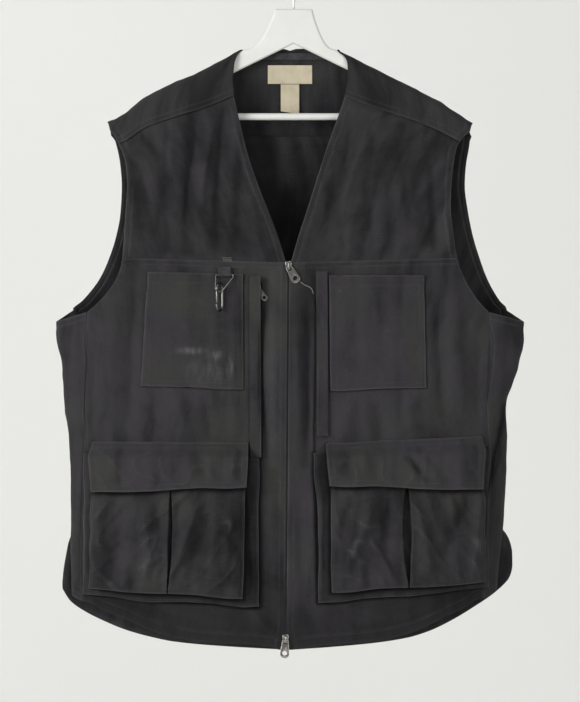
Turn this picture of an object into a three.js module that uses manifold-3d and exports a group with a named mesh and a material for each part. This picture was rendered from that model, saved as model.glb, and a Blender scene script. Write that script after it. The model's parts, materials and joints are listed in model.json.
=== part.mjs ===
// A sleeveless zip-front utility work vest hanging on a white wooden clothes hanger.
// Millimetres. X runs across the vest to the wearer's left, Y runs to the wearer's back, Z is up.
// The origin is the inner top of the hanger's hook, where a rail carries it.
// Right and left are the wearer's. Each cloth piece is one closed wall, sewn edge to edge with its neighbours.
import * as THREE from "three";
import { mergeVertices } from "three/addons/utils/BufferGeometryUtils.js";
import Module from "manifold-3d";

const wasm = await Module();
wasm.setup();

// Hanger
const hookRise = 60; // rail line to the top of the wood
const hookRadius = 17; // inner radius of the hook's bow
const hookWire = 3.6; // wire diameter
const woodThickness = 10.5;
const woodEdgeRound = 4;
const woodClearance = 1.3; // under the cloth that lies over the arms
const hangerWidth = 400;
const neckWoodHalf = 25; // half width of the flat top round the hook
const underApex = 46.5; // top of the wood to the peak of its underside
const underSlope = 0.49;
const barDiameter = 9.5;
const barDrop = 145; // top of the wood to the bar's centre
const barSocket = 14; // the wood beyond the bar's end, across

// Vest
const cloth = 1.5; // doubled canvas at the edges
const seamGap = 0.8; // between two pieces that are sewn edge to edge
const sideSeamGap = 1.4;
const layerGap = 0.9; // under a pocket that is sewn on top
const flatGap = 0.6; // and under a flat one
const vestShift = -5; // the vest hangs this far off the hook's line
const neckDrop = 55; // top of the wood to the neck points
const bodyLength = 808; // neck point to the lowest hem
const bodyWidth = 630; // laid flat at the foot of the armholes
const shoulderWidth = 494; // tip to tip
const shoulderDrop = 99; // neck point to shoulder tip, vertically
const neckWidth = 154;
const neckRise = 16; // the line of the shoulders carried on over the neck
const backNeckDrop = 15; // back neckline below that line
const neckDepth = 289; // neck point to the top of the zip
const armholeDepth = 267; // shoulder tip to the foot of the armhole
const frontBulge = 46; // the front's greatest distance from the hanger's plane
const backBulge = 30;
const ridgeRadius = 9.4; // bend of the cloth over the arms
const bulgeRun = 60; // how fast the cloth stands off below the shoulders
const frontYokeDrop = 281; // neck point to the yoke seam
const yokeSeamDip = 6; // the seam's middle hangs lower than its ends
const frontSeamInner = 57; // shoulder seam in front, below the ridge at the neck
const frontSeamOuter = 36; // and at the shoulder tip
const backYokeDrop = 122; // neck point to the back yoke seam
const ventTop = 0.775; // level where each side vent starts
const sideSeamTopFront = 0.955; // how far down the armhole the front's side seam starts
const sideSeamTopBack = 0.93;

// Zip
const zipGap = 2.6; // between the two front edges
const zipPartLevel = 0.956; // the edges part below this level
const zipParted = 9; // and stand this much further apart at the hem
const zipLean = -6; // the zip's foot hangs this far to the wearer's right
const tapeWidth = 13;
const tapeThickness = 0.8;
const chainWidth = 5.6;
const chainThickness = 2.2;
const behindCloth = 0.6; // from the cloth's inner face to the tape or the chain
const sliderWidth = 8;
const sliderLength = 11;
const sliderPlate = 1.8;
const sliderNeck = 1.6; // passes between the two front edges
const bridgeWidth = 2.2;
const bridgeRise = 4.2; // front face of the plate to the front of the bridge
const bridgeBar = 1.1;
const bridgeLength = 8.4;
const pullLength = 26;
const pullTopWidth = 8;
const pullFootWidth = 12.5;
const pullThickness = 1.5;
const pullWindow = 5.2; // length of the slot that the bridge passes through
const pullRail = 1.35; // width of the pull beside that slot
const pullEye = 3.1; // half width of the eye at its foot
const pullClearance = 1.1;
const topPullLean = 30; // degrees, from hanging straight
const bottomSliderRise = 15; // hem to the middle of the bottom slider
const pocketHardware = 0.72; // size of the pocket's slider and pull beside the front's
const pocketPullLean = 34; // degrees
const pocketSliderDown = 17; // below the top of the covering strip
const pocketChainWidth = 4.4;
const pocketChainThickness = 1.1;
const pocketChainInset = 2.6; // from the strip's free edge to the chain's middle
const pocketChainFoot = 6.5; // from the hand pocket's mouth up to the chain

// Pockets
const chestPocketWidth = 128;
const chestPocketHeight = 155;
const stripWidth = 15;
const stripHeight = 243;
const stripLift = 8; // its free edge stands off this far
const basePocketWidth = 234;
const basePocketHeight = 200;
const basePocketDepth = 8;
const cargoPocketWidth = 204;
const cargoPocketHeight = 172;
const cargoPocketDepth = 19;
const pocketRound = 0.06; // rounding of a bellows pocket's edges, as a share of its width
const pleatDepth = 8;
const pleatWidth = 7;
const flapWidth = 209;
const flapHeight = 60;
const flapSlope = 13; // height over which it runs out over the pocket

// Clip on the chest
const tabWidth = 17.5;
const tabTail = 9; // sewn part above the loop
const tabThickness = 1.3;
const tabAcross = 88; // from the zip's line
const ringWire = 2.2;
const ringTopWidth = 24;
const ringDrop = 24; // the ring's bar to its foot
const ringFootRadius = 5.4;
const ringTilt = 20; // degrees, the clip's back pushes the ring's foot out
const clipLength = 40;
const clipWidth = 17;
const clipWire = 3;
const clipTurn = 58; // degrees, the clip hangs turned almost edge on
const clipPlay = 0.5;
const gateLength = 17;

// Labels
const labelWidth = 60;
const labelHeight = 25;
const labelTop = 20; // below the neck point
const careLabelWidth = 25;
const careLabelHeight = 36;
const labelThickness = 1;
const neckTapeWidth = 9;
const neckTapeLength = 100;

const neckZ = -(hookRise + neckDrop);
const half = bodyWidth / 2;
const neckHalf = neckWidth / 2;
const tipHalf = shoulderWidth / 2;
const armholeTopLevel = shoulderDrop / bodyLength;
const armholeFootLevel = (shoulderDrop + armholeDepth) / bodyLength;

const RIGHT = { name: "right", sign: -1 };
const LEFT = { name: "left", sign: 1 };
const sides = [RIGHT, LEFT];

// Shares of the shoulder's run and of its drop, from the neck point to the tip.
const ridgeTable = [
  { out: 0, right: 0, left: 0.02 },
  { out: 0.25, right: 0.25, left: 0.26 },
  { out: 0.5, right: 0.46, left: 0.47 },
  { out: 0.72, right: 0.66, left: 0.68 },
  { out: 0.87, right: 0.88, left: 0.86 },
  { out: 1, right: 1, left: 1.02 },
];
const ridgeStart = 0.86; // where the neckline crosses the ridge, as a share of half the neck

// Half width of the closed body, as a share of half the body's width, down the body's levels.
const widthTable = [
  { level: 0, right: 1.02, left: 1.02 },
  { level: 0.3, right: 1.02, left: 1.02 },
  { level: 0.453, right: 0.997, left: 0.997 },
  { level: 0.476, right: 0.997, left: 1 },
  { level: 0.52, right: 0.975, left: 0.979 },
  { level: 0.6, right: 0.962, left: 0.921 },
  { level: 0.65, right: 0.942, left: 0.924 },
  { level: 0.77, right: 0.935, left: 0.915 },
  { level: 0.85, right: 0.936, left: 0.893 },
  { level: 1, right: 0.91, left: 0.86 },
];
// Half width of the line that the back panel curves towards. It flares below the vents.
const backWidthTable = [
  { level: 0, right: 1.04, left: 1.04 },
  { level: 0.3, right: 1.04, left: 1.04 },
  { level: 0.453, right: 0.997, left: 0.997 },
  { level: 0.476, right: 0.997, left: 1 },
  { level: 0.52, right: 0.975, left: 0.979 },
  { level: 0.6, right: 0.962, left: 0.921 },
  { level: 0.65, right: 0.942, left: 0.924 },
  { level: 0.77, right: 0.935, left: 0.915 },
  { level: 0.82, right: 0.985, left: 0.98 },
  { level: 0.9, right: 1.03, left: 1.01 },
  { level: 1, right: 1.04, left: 1.03 },
];
// Edge of the back panel beside each vent, as a share of half the body's width.
const ventEdgeTable = [
  { level: 0.775, right: 0.87, left: 0.851 },
  { level: 0.785, right: 0.87, left: 0.851 },
  { level: 0.8, right: 0.92, left: 0.91 },
  { level: 0.82, right: 0.947, left: 0.941 },
  { level: 0.84, right: 0.958, left: 0.952 },
  { level: 0.862, right: 0.968, left: 0.953 },
  { level: 0.878, right: 0.973, left: 0.943 },
  { level: 0.895, right: 0.975, left: 0.915 },
  { level: 0.91, right: 0.967, left: 0.87 },
  { level: 0.925, right: 0.935, left: 0.81 },
];
// Where the front's side seam runs, as a share of the closed body's half width.
const sideSeamTable = [
  { level: 0.45, right: 0.87, left: 0.852 },
  { level: 0.6, right: 0.912, left: 0.912 },
  { level: 0.8, right: 0.945, left: 0.925 },
  { level: 1, right: 0.96, left: 0.945 },
];
const backSeamShare = 0.932;
const ventEdgeShare = 0.985; // where the side panel's free edge hangs below the vent's top
const ventOpening = 0.02; // levels over which it gets there
// Depth of the body, as a share of the front's and the back's bulge.
const depthTable = [
  { level: 0, front: 0.3, back: 0.45 },
  { level: 0.15, front: 0.46, back: 0.75 },
  { level: 0.35, front: 0.66, back: 1 },
  { level: 0.55, front: 0.84, back: 1 },
  { level: 0.8, front: 1, back: 0.95 },
  { level: 1, front: 0.96, back: 0.8 },
];
// Neckline, as shares of half the neck's width, down the V's depth.
const necklineTable = [
  { down: 0, right: 0.86, left: 0.86 },
  { down: 0.05, right: 0.96, left: 0.99 },
  { down: 0.11, right: 1, left: 1.02 },
  { down: 0.18, right: 0.995, left: 0.99 },
  { down: 0.3, right: 0.905, left: 0.85 },
  { down: 0.45, right: 0.77, left: 0.65 },
  { down: 0.62, right: 0.56, left: 0.445 },
  { down: 0.77, right: 0.33, left: 0.27 },
  { down: 0.87, right: 0.18, left: 0.15 },
  { down: 1, right: 0.02, left: 0.02 },
];
// Armhole edges, as shares of half the body's width, down the armhole's depth.
const armholeTable = [
  { down: 0, right: 0.784, left: 0.784, backRight: 0.784, backLeft: 0.784 },
  { down: 0.05, right: 0.757, left: 0.757, backRight: 0.762, backLeft: 0.776 },
  { down: 0.12, right: 0.727, left: 0.714, backRight: 0.742, backLeft: 0.768 },
  { down: 0.21, right: 0.702, left: 0.698, backRight: 0.728, backLeft: 0.755 },
  { down: 0.31, right: 0.695, left: 0.689, backRight: 0.722, backLeft: 0.75 },
  { down: 0.45, right: 0.702, left: 0.687, backRight: 0.728, backLeft: 0.765 },
  { down: 0.57, right: 0.708, left: 0.697, backRight: 0.747, backLeft: 0.786 },
  { down: 0.69, right: 0.716, left: 0.714, backRight: 0.78, backLeft: 0.817 },
  { down: 0.78, right: 0.739, left: 0.743, backRight: 0.815, backLeft: 0.845 },
  { down: 0.86, right: 0.783, left: 0.781, backRight: 0.864, backLeft: 0.88 },
  { down: 0.93, right: 0.842, left: 0.829, backRight: 0.92, backLeft: 0.922 },
  { down: 0.98, right: 0.908, left: 0.886, backRight: 0.965, backLeft: 0.965 },
  { down: 1, right: 0.99, left: 0.99, backRight: 0.99, backLeft: 0.99 },
];
// Hem level across the body, from the zip to the side, as a share of the body's length.
const hemTable = [
  { out: 0, right: 0.998, left: 0.998, backRight: 1.003, backLeft: 1.003 },
  { out: 0.15, right: 0.99, left: 0.991, backRight: 1, backLeft: 0.999 },
  { out: 0.35, right: 0.986, left: 0.984, backRight: 0.995, backLeft: 0.992 },
  { out: 0.5, right: 0.977, left: 0.972, backRight: 0.989, backLeft: 0.983 },
  { out: 0.6, right: 0.965, left: 0.956, backRight: 0.981, backLeft: 0.971 },
  { out: 0.7, right: 0.947, left: 0.937, backRight: 0.97, backLeft: 0.952 },
  { out: 0.8, right: 0.933, left: 0.919, backRight: 0.954, backLeft: 0.928 },
  { out: 0.88, right: 0.92, left: 0.903, backRight: 0.938, backLeft: 0.906 },
  { out: 0.94, right: 0.908, left: 0.889, backRight: 0.921, backLeft: 0.882 },
  { out: 1, right: 0.895, left: 0.875, backRight: 0.88, backLeft: 0.84 },
];
// Main folds of the front: ends as shares across and down the body, half width and height in
// shares of the body's width. A plus rises towards the viewer.
const frontFolds = [
  { side: RIGHT, fromOut: 0.42, fromDown: 0.11, toOut: 0.66, toDown: 0.33, width: 0.03, rise: 0.007 },
  { side: RIGHT, fromOut: 0.36, fromDown: 0.12, toOut: 0.46, toDown: 0.3, width: 0.022, rise: -0.006 },
  { side: RIGHT, fromOut: 0.29, fromDown: 0.12, toOut: 0.34, toDown: 0.34, width: 0.018, rise: -0.005 },
  { side: RIGHT, fromOut: 0.78, fromDown: 0.42, toOut: 0.77, toDown: 0.65, width: 0.026, rise: 0.006 },
  { side: LEFT, fromOut: 0.28, fromDown: 0.08, toOut: 0.36, toDown: 0.3, width: 0.024, rise: -0.006 },
  { side: LEFT, fromOut: 0.5, fromDown: 0.13, toOut: 0.68, toDown: 0.3, width: 0.024, rise: -0.007 },
  { side: LEFT, fromOut: 0.2, fromDown: 0.2, toOut: 0.1, toDown: 0.34, width: 0.03, rise: 0.006 },
  { side: LEFT, fromOut: 0.76, fromDown: 0.42, toOut: 0.75, toDown: 0.65, width: 0.026, rise: 0.007 },
];
const backFolds = [
  { side: RIGHT, fromOut: 0.5, fromDown: 0.2, toOut: 0.3, toDown: 0.8, width: 0.05, rise: 0.012 },
  { side: RIGHT, fromOut: 0.15, fromDown: 0.3, toOut: 0.1, toDown: 0.95, width: 0.035, rise: -0.009 },
  { side: RIGHT, fromOut: 0.72, fromDown: 0.46, toOut: 0.62, toDown: 0.95, width: 0.04, rise: -0.01 },
  { side: LEFT, fromOut: 0.45, fromDown: 0.2, toOut: 0.36, toDown: 0.85, width: 0.05, rise: 0.012 },
  { side: LEFT, fromOut: 0.1, fromDown: 0.35, toOut: 0.14, toDown: 0.95, width: 0.035, rise: -0.008 },
  { side: LEFT, fromOut: 0.7, fromDown: 0.48, toOut: 0.66, toDown: 0.95, width: 0.04, rise: -0.01 },
];

const clamp = (value, low = 0, high = 1) => Math.min(high, Math.max(low, value));
const mix = (a, b, t) => a + (b - a) * t;
const smooth = (t) => {
  const c = clamp(t);
  return c * c * (3 - 2 * c);
};

// Reads a column of a table at any place of its first column, on a curve that never overshoots.
function read(table, key, column, at) {
  const last = table.length - 1;
  const slope = (k) => (table[k + 1][column] - table[k][column]) / (table[k + 1][key] - table[k][key]);
  const tangent = (k) => {
    if (k === 0) return slope(0);
    if (k === last) return slope(last - 1);
    const before = slope(k - 1);
    const after = slope(k);
    return before * after <= 0 ? 0 : (2 * before * after) / (before + after);
  };
  if (at <= table[0][key]) return table[0][column];
  if (at >= table[last][key]) return table[last][column];
  let k = 0;
  while (table[k + 1][key] < at) k += 1;
  const run = table[k + 1][key] - table[k][key];
  const t = (at - table[k][key]) / run;
  const t2 = t * t;
  const t3 = t2 * t;
  return (
    table[k][column] * (2 * t3 - 3 * t2 + 1) +
    tangent(k) * run * (t3 - 2 * t2 + t) +
    table[k + 1][column] * (3 * t2 - 2 * t3) +
    tangent(k + 1) * run * (t3 - t2)
  );
}

const levelOf = (z) => (neckZ - z) / bodyLength;
const heightOf = (level) => neckZ - level * bodyLength;
const sideAt = (x) => (x < 0 ? RIGHT : LEFT);

// Height of the shoulder line above any x, in the plane of the hanger.
function ridge(x) {
  const out = Math.abs(x);
  const start = neckHalf * ridgeStart;
  if (out < start) return neckZ + neckRise * (1 - (out / start) ** 2);
  const share = (out - start) / (tipHalf - start);
  const side = sideAt(x);
  if (share > 1) {
    const last = ridgeTable.length - 1;
    const rise = ridgeTable[last][side.name] - ridgeTable[last - 1][side.name];
    const run = ridgeTable[last].out - ridgeTable[last - 1].out;
    return neckZ - shoulderDrop * (ridgeTable[last][side.name] + ((share - 1) * rise) / run);
  }
  return neckZ - shoulderDrop * read(ridgeTable, "out", side.name, share);
}

// Height that a list of folds adds at a place on the cloth.
function foldRise(folds, x, z) {
  let rise = 0;
  for (const fold of folds) {
    const x0 = fold.side.sign * fold.fromOut * half;
    const x1 = fold.side.sign * fold.toOut * half;
    const z0 = heightOf(fold.fromDown);
    const z1 = heightOf(fold.toDown);
    const run = Math.hypot(x1 - x0, z1 - z0);
    const along = ((x - x0) * (x1 - x0) + (z - z0) * (z1 - z0)) / run;
    const across = ((x - x0) * (z1 - z0) - (z - z0) * (x1 - x0)) / run;
    const taper = smooth(along / (run * 0.3)) * smooth((run - along) / (run * 0.3));
    rise += fold.rise * bodyWidth * taper * Math.exp(-((across / (fold.width * bodyWidth)) ** 2));
  }
  return rise;
}

// Distance of the cloth from the hanger's plane, in front or behind, where it has dropped below
// the shoulder line.
function depthAt(x, z, face) {
  const isFront = face === "front";
  const bulge = (isFront ? frontBulge : backBulge) * read(depthTable, "level", face, levelOf(z));
  const drop = ridge(x) - z;
  const stand = ridgeRadius + (bulge - ridgeRadius) * (1 - Math.exp(-Math.max(0, drop) / bulgeRun));
  const widths = isFront ? widthTable : backWidthTable;
  const virtualHalf = half * read(widths, "level", sideAt(x).name, levelOf(z));
  const share = clamp(Math.abs(x) / virtualHalf);
  const round = Math.sqrt(Math.max(0, 1 - share ** 4));
  const over = Math.sqrt(Math.max(0, 1 - (1 - clamp(drop / ridgeRadius)) ** 2));
  const calm = smooth(drop / (3 * ridgeRadius)) * round;
  const folds = foldRise(isFront ? frontFolds : backFolds, x, z) * calm;
  return over * stand * round + folds;
}

// The surfaces of the cloth's middle layer. Each takes two numbers and gives a point.
const frontSurface = {
  out: -1,
  point: (x, z) => new THREE.Vector3(x, -depthAt(x, z, "front"), z),
};
const backSurface = {
  out: 1,
  point: (x, z) => new THREE.Vector3(x, depthAt(x, z, "back"), z),
};
// Over the shoulder: x, and the distance walked over the ridge, minus in front.
const yokeSurface = {
  out: -1,
  point: (x, walked) => {
    const quarter = (ridgeRadius * Math.PI) / 2;
    const path = Math.abs(walked);
    const drop = path < quarter ? ridgeRadius * (1 - Math.cos(path / ridgeRadius)) : ridgeRadius + path - quarter;
    const face = walked < 0 ? "front" : "back";
    const z = ridge(x) - drop;
    const depth = depthAt(x, z, face);
    return new THREE.Vector3(x, walked < 0 ? -depth : depth, z);
  },
};
const walkedTo = (drop) => {
  const quarter = (ridgeRadius * Math.PI) / 2;
  return drop < ridgeRadius ? ridgeRadius * Math.acos(1 - drop / ridgeRadius) : quarter + drop - ridgeRadius;
};
// Round the side: an angle from the silhouette, minus in front, and the height.
function sideSurface(side) {
  return {
    out: side.sign,
    point: (angle, z) => {
      const level = levelOf(z);
      const bulge = angle < 0 ? frontBulge * read(depthTable, "level", "front", level) : backBulge * read(depthTable, "level", "back", level);
      const width = half * read(widthTable, "level", side.name, level);
      const x = side.sign * width * Math.sqrt(Math.cos(angle));
      const face = angle < 0 ? "front" : "back";
      const drop = ridge(x) - z;
      const stand = ridgeRadius + (bulge - ridgeRadius) * (1 - Math.exp(-drop / bulgeRun));
      const folds = foldRise(angle < 0 ? frontFolds : backFolds, x, z) * Math.abs(Math.sin(angle));
      const depth = stand * Math.abs(Math.sin(angle)) + folds;
      return new THREE.Vector3(x, face === "front" ? -depth : depth, z);
    },
  };
}

// Unit normal of a surface at a place, pointing out of the body.
function normalAt(surface, a, b, stepA, stepB) {
  const alongA = surface.point(a + stepA, b).sub(surface.point(a - stepA, b));
  const alongB = surface.point(a, b + stepB).sub(surface.point(a, b - stepB));
  return alongA.cross(alongB).normalize();
}

// A closed mesh from an outer and an inner grid of points, with coincident points welded.
function gridSolid(outer, inner, cols, rows) {
  const seen = new Map();
  const points = [];
  const weld = (p) => {
    const key = `${p.x.toFixed(4)},${p.y.toFixed(4)},${p.z.toFixed(4)}`;
    if (!seen.has(key)) {
      seen.set(key, points.length / 3);
      points.push(p.x, p.y, p.z);
    }
    return seen.get(key);
  };
  const top = outer.map(weld);
  const under = inner.map(weld);
  const at = (i, j) => j * (cols + 1) + i;
  const triangles = [];
  const face = (a, b, c) => {
    if (a !== b && b !== c && c !== a) triangles.push([a, b, c]);
  };
  const quad = (a, b, c, d) => {
    face(a, b, c);
    face(a, c, d);
  };
  for (let j = 0; j < rows; j += 1) {
    for (let i = 0; i < cols; i += 1) {
      quad(top[at(i, j)], top[at(i + 1, j)], top[at(i + 1, j + 1)], top[at(i, j + 1)]);
      quad(under[at(i, j)], under[at(i, j + 1)], under[at(i + 1, j + 1)], under[at(i + 1, j)]);
    }
  }
  for (let i = 0; i < cols; i += 1) {
    quad(top[at(i + 1, 0)], top[at(i, 0)], under[at(i, 0)], under[at(i + 1, 0)]);
    quad(top[at(i, rows)], top[at(i + 1, rows)], under[at(i + 1, rows)], under[at(i, rows)]);
  }
  for (let j = 0; j < rows; j += 1) {
    quad(top[at(0, j)], top[at(0, j + 1)], under[at(0, j + 1)], under[at(0, j)]);
    quad(top[at(cols, j + 1)], top[at(cols, j)], under[at(cols, j)], under[at(cols, j + 1)]);
  }
  return closedMesh(points, triangles);
}

// A geometry from points and triangles, turned so that its faces point out.
function closedMesh(points, triangles) {
  const corner = (k) => new THREE.Vector3(points[3 * k], points[3 * k + 1], points[3 * k + 2]);
  let volume = 0;
  for (const [a, b, c] of triangles) volume += corner(a).dot(corner(b).cross(corner(c))) / 6;
  const order = volume < 0 ? ([a, b, c]) => [a, c, b] : (t) => t;
  const geometry = new THREE.BufferGeometry();
  geometry.setAttribute("position", new THREE.Float32BufferAttribute(points, 3));
  geometry.setIndex(triangles.flatMap(order));
  geometry.computeVertexNormals();
  return geometry;
}

// Solids from manifold-3d and back.
function toSolid(geometry) {
  const bare = new THREE.BufferGeometry();
  const plain = geometry.index ? geometry.toNonIndexed() : geometry;
  bare.setAttribute("position", plain.getAttribute("position"));
  const merged = mergeVertices(bare, 1e-4);
  return new wasm.Manifold(
    new wasm.Mesh({
      numProp: 3,
      vertProperties: merged.attributes.position.array,
      triVerts: new Uint32Array(merged.index.array),
    }),
  );
}
function fromSolid(solid) {
  const mesh = solid.getMesh();
  const geometry = new THREE.BufferGeometry();
  geometry.setAttribute("position", new THREE.BufferAttribute(new Float32Array(mesh.vertProperties), 3));
  geometry.setIndex(new THREE.BufferAttribute(new Uint32Array(mesh.triVerts), 1));
  return geometry;
}
const joined = (...geometries) => fromSolid(geometries.map(toSolid).reduce((whole, next) => whole.add(next)));
const block = (width, depth, height, x, y, z) => {
  const geometry = new THREE.BoxGeometry(width, depth, height);
  geometry.translate(x, y, z);
  return geometry;
};

// A place between four edges. Each edge is a function from 0 to 1 that gives [a, b].
function between({ foot, head, start, end }) {
  const corner = { a: foot(0), b: foot(1), c: head(0), d: head(1) };
  return (u, v) =>
    [0, 1].map(
      (k) =>
        mix(foot(u)[k], head(u)[k], v) +
        mix(start(v)[k], end(v)[k], u) -
        mix(mix(corner.a[k], corner.b[k], u), mix(corner.c[k], corner.d[k], u), v),
    );
}

// An edge through a list of places, walked at an even pace.
function edgeThrough(places) {
  const lengths = [0];
  for (let k = 1; k < places.length; k += 1) {
    lengths.push(lengths[k - 1] + Math.hypot(places[k][0] - places[k - 1][0], places[k][1] - places[k - 1][1]));
  }
  const whole = lengths[lengths.length - 1];
  return (t) => {
    const at = clamp(t) * whole;
    let k = 0;
    while (k < places.length - 2 && lengths[k + 1] < at) k += 1;
    const share = clamp((at - lengths[k]) / (lengths[k + 1] - lengths[k] || 1));
    return [mix(places[k][0], places[k + 1][0], share), mix(places[k][1], places[k + 1][1], share)];
  };
}
const sample = (count, place) => Array.from({ length: count + 1 }, (_, k) => place(k / count));
const evenly = (count) => sample(count, (t) => t);
const towardsEnd = (count) => sample(count, (t) => 1 - (1 - t) ** 1.35);
const towardsEnds = (count) => sample(count, (t) => 0.5 - 0.5 * Math.sign(1 - 2 * t) * Math.abs(1 - 2 * t) ** 0.78);

// A wall of cloth over a patch of a surface. lift moves it out along the surface's normal.
function clothWall(surface, patch, across, down, { thickness = cloth, lift = 0, steps = [1, 1] } = {}) {
  const outer = [];
  const inner = [];
  const liftAt = typeof lift === "function" ? lift : () => lift;
  for (const v of down) {
    for (const u of across) {
      const [a, b] = patch(u, v);
      const normal = normalAt(surface, a, b, steps[0], steps[1]);
      if (surface.facing && normal.dot(surface.facing(a, b)) < 0) normal.negate();
      const point = surface.point(a, b);
      outer.push(point.clone().addScaledVector(normal, liftAt(u, v) + thickness / 2));
      inner.push(point.clone().addScaledVector(normal, liftAt(u, v) - thickness / 2));
    }
  }
  return gridSolid(outer, inner, across.length - 1, down.length - 1);
}
frontSurface.facing = () => new THREE.Vector3(0, -1, 0);
backSurface.facing = () => new THREE.Vector3(0, 1, 0);
yokeSurface.facing = (x, walked) => new THREE.Vector3(0, walked, 1.5 * ridgeRadius);

// A bellows pocket: a front wall that stands off, with side and foot walls back to the layer
// beneath, open at the top and behind.
function bellows(patch, across, down, { base, depth, wall = cloth, inset }) {
  const outer = [];
  const inner = [];
  const us = [across[0], ...across, across[across.length - 1]];
  const vs = [down[0], ...down];
  const place = (u, v, lift, list) => {
    const [x, z] = patch(u, v);
    const normal = normalAt(frontSurface, x, z, 1, 1);
    if (normal.y > 0) normal.negate();
    list.push(frontSurface.point(x, z).addScaledVector(normal, lift));
  };
  vs.forEach((v, j) =>
    us.forEach((u, i) => {
      const onRim = i === 0 || i === us.length - 1 || j === 0;
      const high = depth(u, v);
      place(u, v, onRim ? base : base + high, outer);
      place(clamp(u, inset[0], 1 - inset[0]), Math.max(v, inset[1]), onRim ? base : base + high - wall, inner);
    }),
  );
  return gridSolid(outer, inner, us.length - 1, vs.length - 1);
}

const armholeX = (side, down, face) => {
  const column = face === "back" ? `back${side.name[0].toUpperCase()}${side.name.slice(1)}` : side.name;
  return side.sign * half * read(armholeTable, "down", column, down);
};
const armholeZ = (down) => heightOf(mix(armholeTopLevel, armholeFootLevel, down));
const zipX = (z) => zipLean * clamp(levelOf(z));
const zipHalfGap = (z) => (zipGap + zipParted * smooth((levelOf(z) - zipPartLevel) / (1 - zipPartLevel))) / 2;
const necklineX = (side, down) => side.sign * neckHalf * read(necklineTable, "down", side.name, down);
const necklineZ = (down) => neckZ - neckDepth * down;
const bodyHalf = (side, z) => half * read(widthTable, "level", side.name, levelOf(z));
const sideSeamX = (side, z) => side.sign * bodyHalf(side, z) * read(sideSeamTable, "level", side.name, levelOf(z));
const hemZ = (side, x) => heightOf(read(hemTable, "out", side.name, Math.abs(x) / half));
const backHemZ = (x) => heightOf(read(hemTable, "out", x < 0 ? "backRight" : "backLeft", Math.abs(x) / half));

// The front shoulder seam, and the yoke seam across the chest.
const frontSeamDrop = (share) => mix(frontSeamInner, frontSeamOuter, share);
const yokeSeamZ = (x) => neckZ - frontYokeDrop - yokeSeamDip * (1 - clamp(Math.abs(x) / (half * 0.7)));

// How far down the armhole's front edge the shoulder seam and the yoke seam meet it.
function armholeMeets(side, reached) {
  let low = 0;
  let high = 1;
  for (let k = 0; k < 40; k += 1) {
    const middle = (low + high) / 2;
    if (reached(armholeX(side, middle, "front"), armholeZ(middle))) high = middle;
    else low = middle;
  }
  return high;
}
const seamOuterDown = (side) => armholeMeets(side, (x, z) => ridge(x) - z > frontSeamOuter);
const yokeOuterDown = (side) => armholeMeets(side, (x, z) => z < yokeSeamZ(x));
const seamInnerDown = (side) => {
  let down = 0;
  while (ridge(necklineX(side, down)) - necklineZ(down) < frontSeamInner) down += 0.002;
  return down;
};

const pieces = [];
const canvas = new THREE.MeshStandardMaterial({ color: 0x2b2b2e, roughness: 0.92, metalness: 0 });
const tapeCloth = new THREE.MeshStandardMaterial({ color: 0x1b1b1d, roughness: 0.85, metalness: 0 });
const nickel = new THREE.MeshStandardMaterial({ color: 0xb9b6ae, roughness: 0.28, metalness: 1 });
const darkSteel = new THREE.MeshStandardMaterial({ color: 0x55555a, roughness: 0.3, metalness: 1 });
const paint = new THREE.MeshStandardMaterial({ color: 0xe9e9e4, roughness: 0.45, metalness: 0 });
const chrome = new THREE.MeshStandardMaterial({ color: 0xc8c8c8, roughness: 0.2, metalness: 1 });
const wovenLabel = new THREE.MeshStandardMaterial({ color: 0xcabf9f, roughness: 0.8, metalness: 0 });

const vest = new THREE.Group();
vest.position.x = vestShift;
function sew(name, geometry, material = canvas) {
  const mesh = new THREE.Mesh(geometry, material);
  mesh.name = name;
  vest.add(mesh);
  pieces.push(mesh);
  return mesh;
}

// Front yoke: neckline, shoulder seam, armhole and yoke seam.
function frontYoke(side) {
  const innerDown = seamInnerDown(side);
  const outerTop = seamOuterDown(side);
  const outerFoot = yokeOuterDown(side);
  const neck = edgeThrough(
    sample(24, (t) => {
      const down = mix(1, innerDown, t);
      const x = necklineX(side, down) + zipX(necklineZ(down)) * down ** 3 + (side.sign * zipGap * down) / 2;
      return [x, necklineZ(down)];
    }),
  );
  const arm = edgeThrough(
    sample(20, (t) => {
      const down = mix(outerFoot, outerTop, t);
      return [armholeX(side, down, "front"), armholeZ(down)];
    }),
  );
  const foot = (u) => {
    const x = mix(neck(0)[0], arm(0)[0], u);
    return [x, yokeSeamZ(x) + seamGap / 2];
  };
  const head = (u) => {
    const x = mix(neck(1)[0], arm(1)[0], u);
    return [x, ridge(x) - frontSeamDrop(u) - seamGap / 2];
  };
  const start = (v) => (v === 0 ? foot(0) : v === 1 ? head(0) : neck(v));
  const end = (v) => (v === 0 ? foot(1) : v === 1 ? head(1) : arm(v));
  return clothWall(frontSurface, between({ foot, head, start, end }), evenly(8), evenly(9));
}

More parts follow.
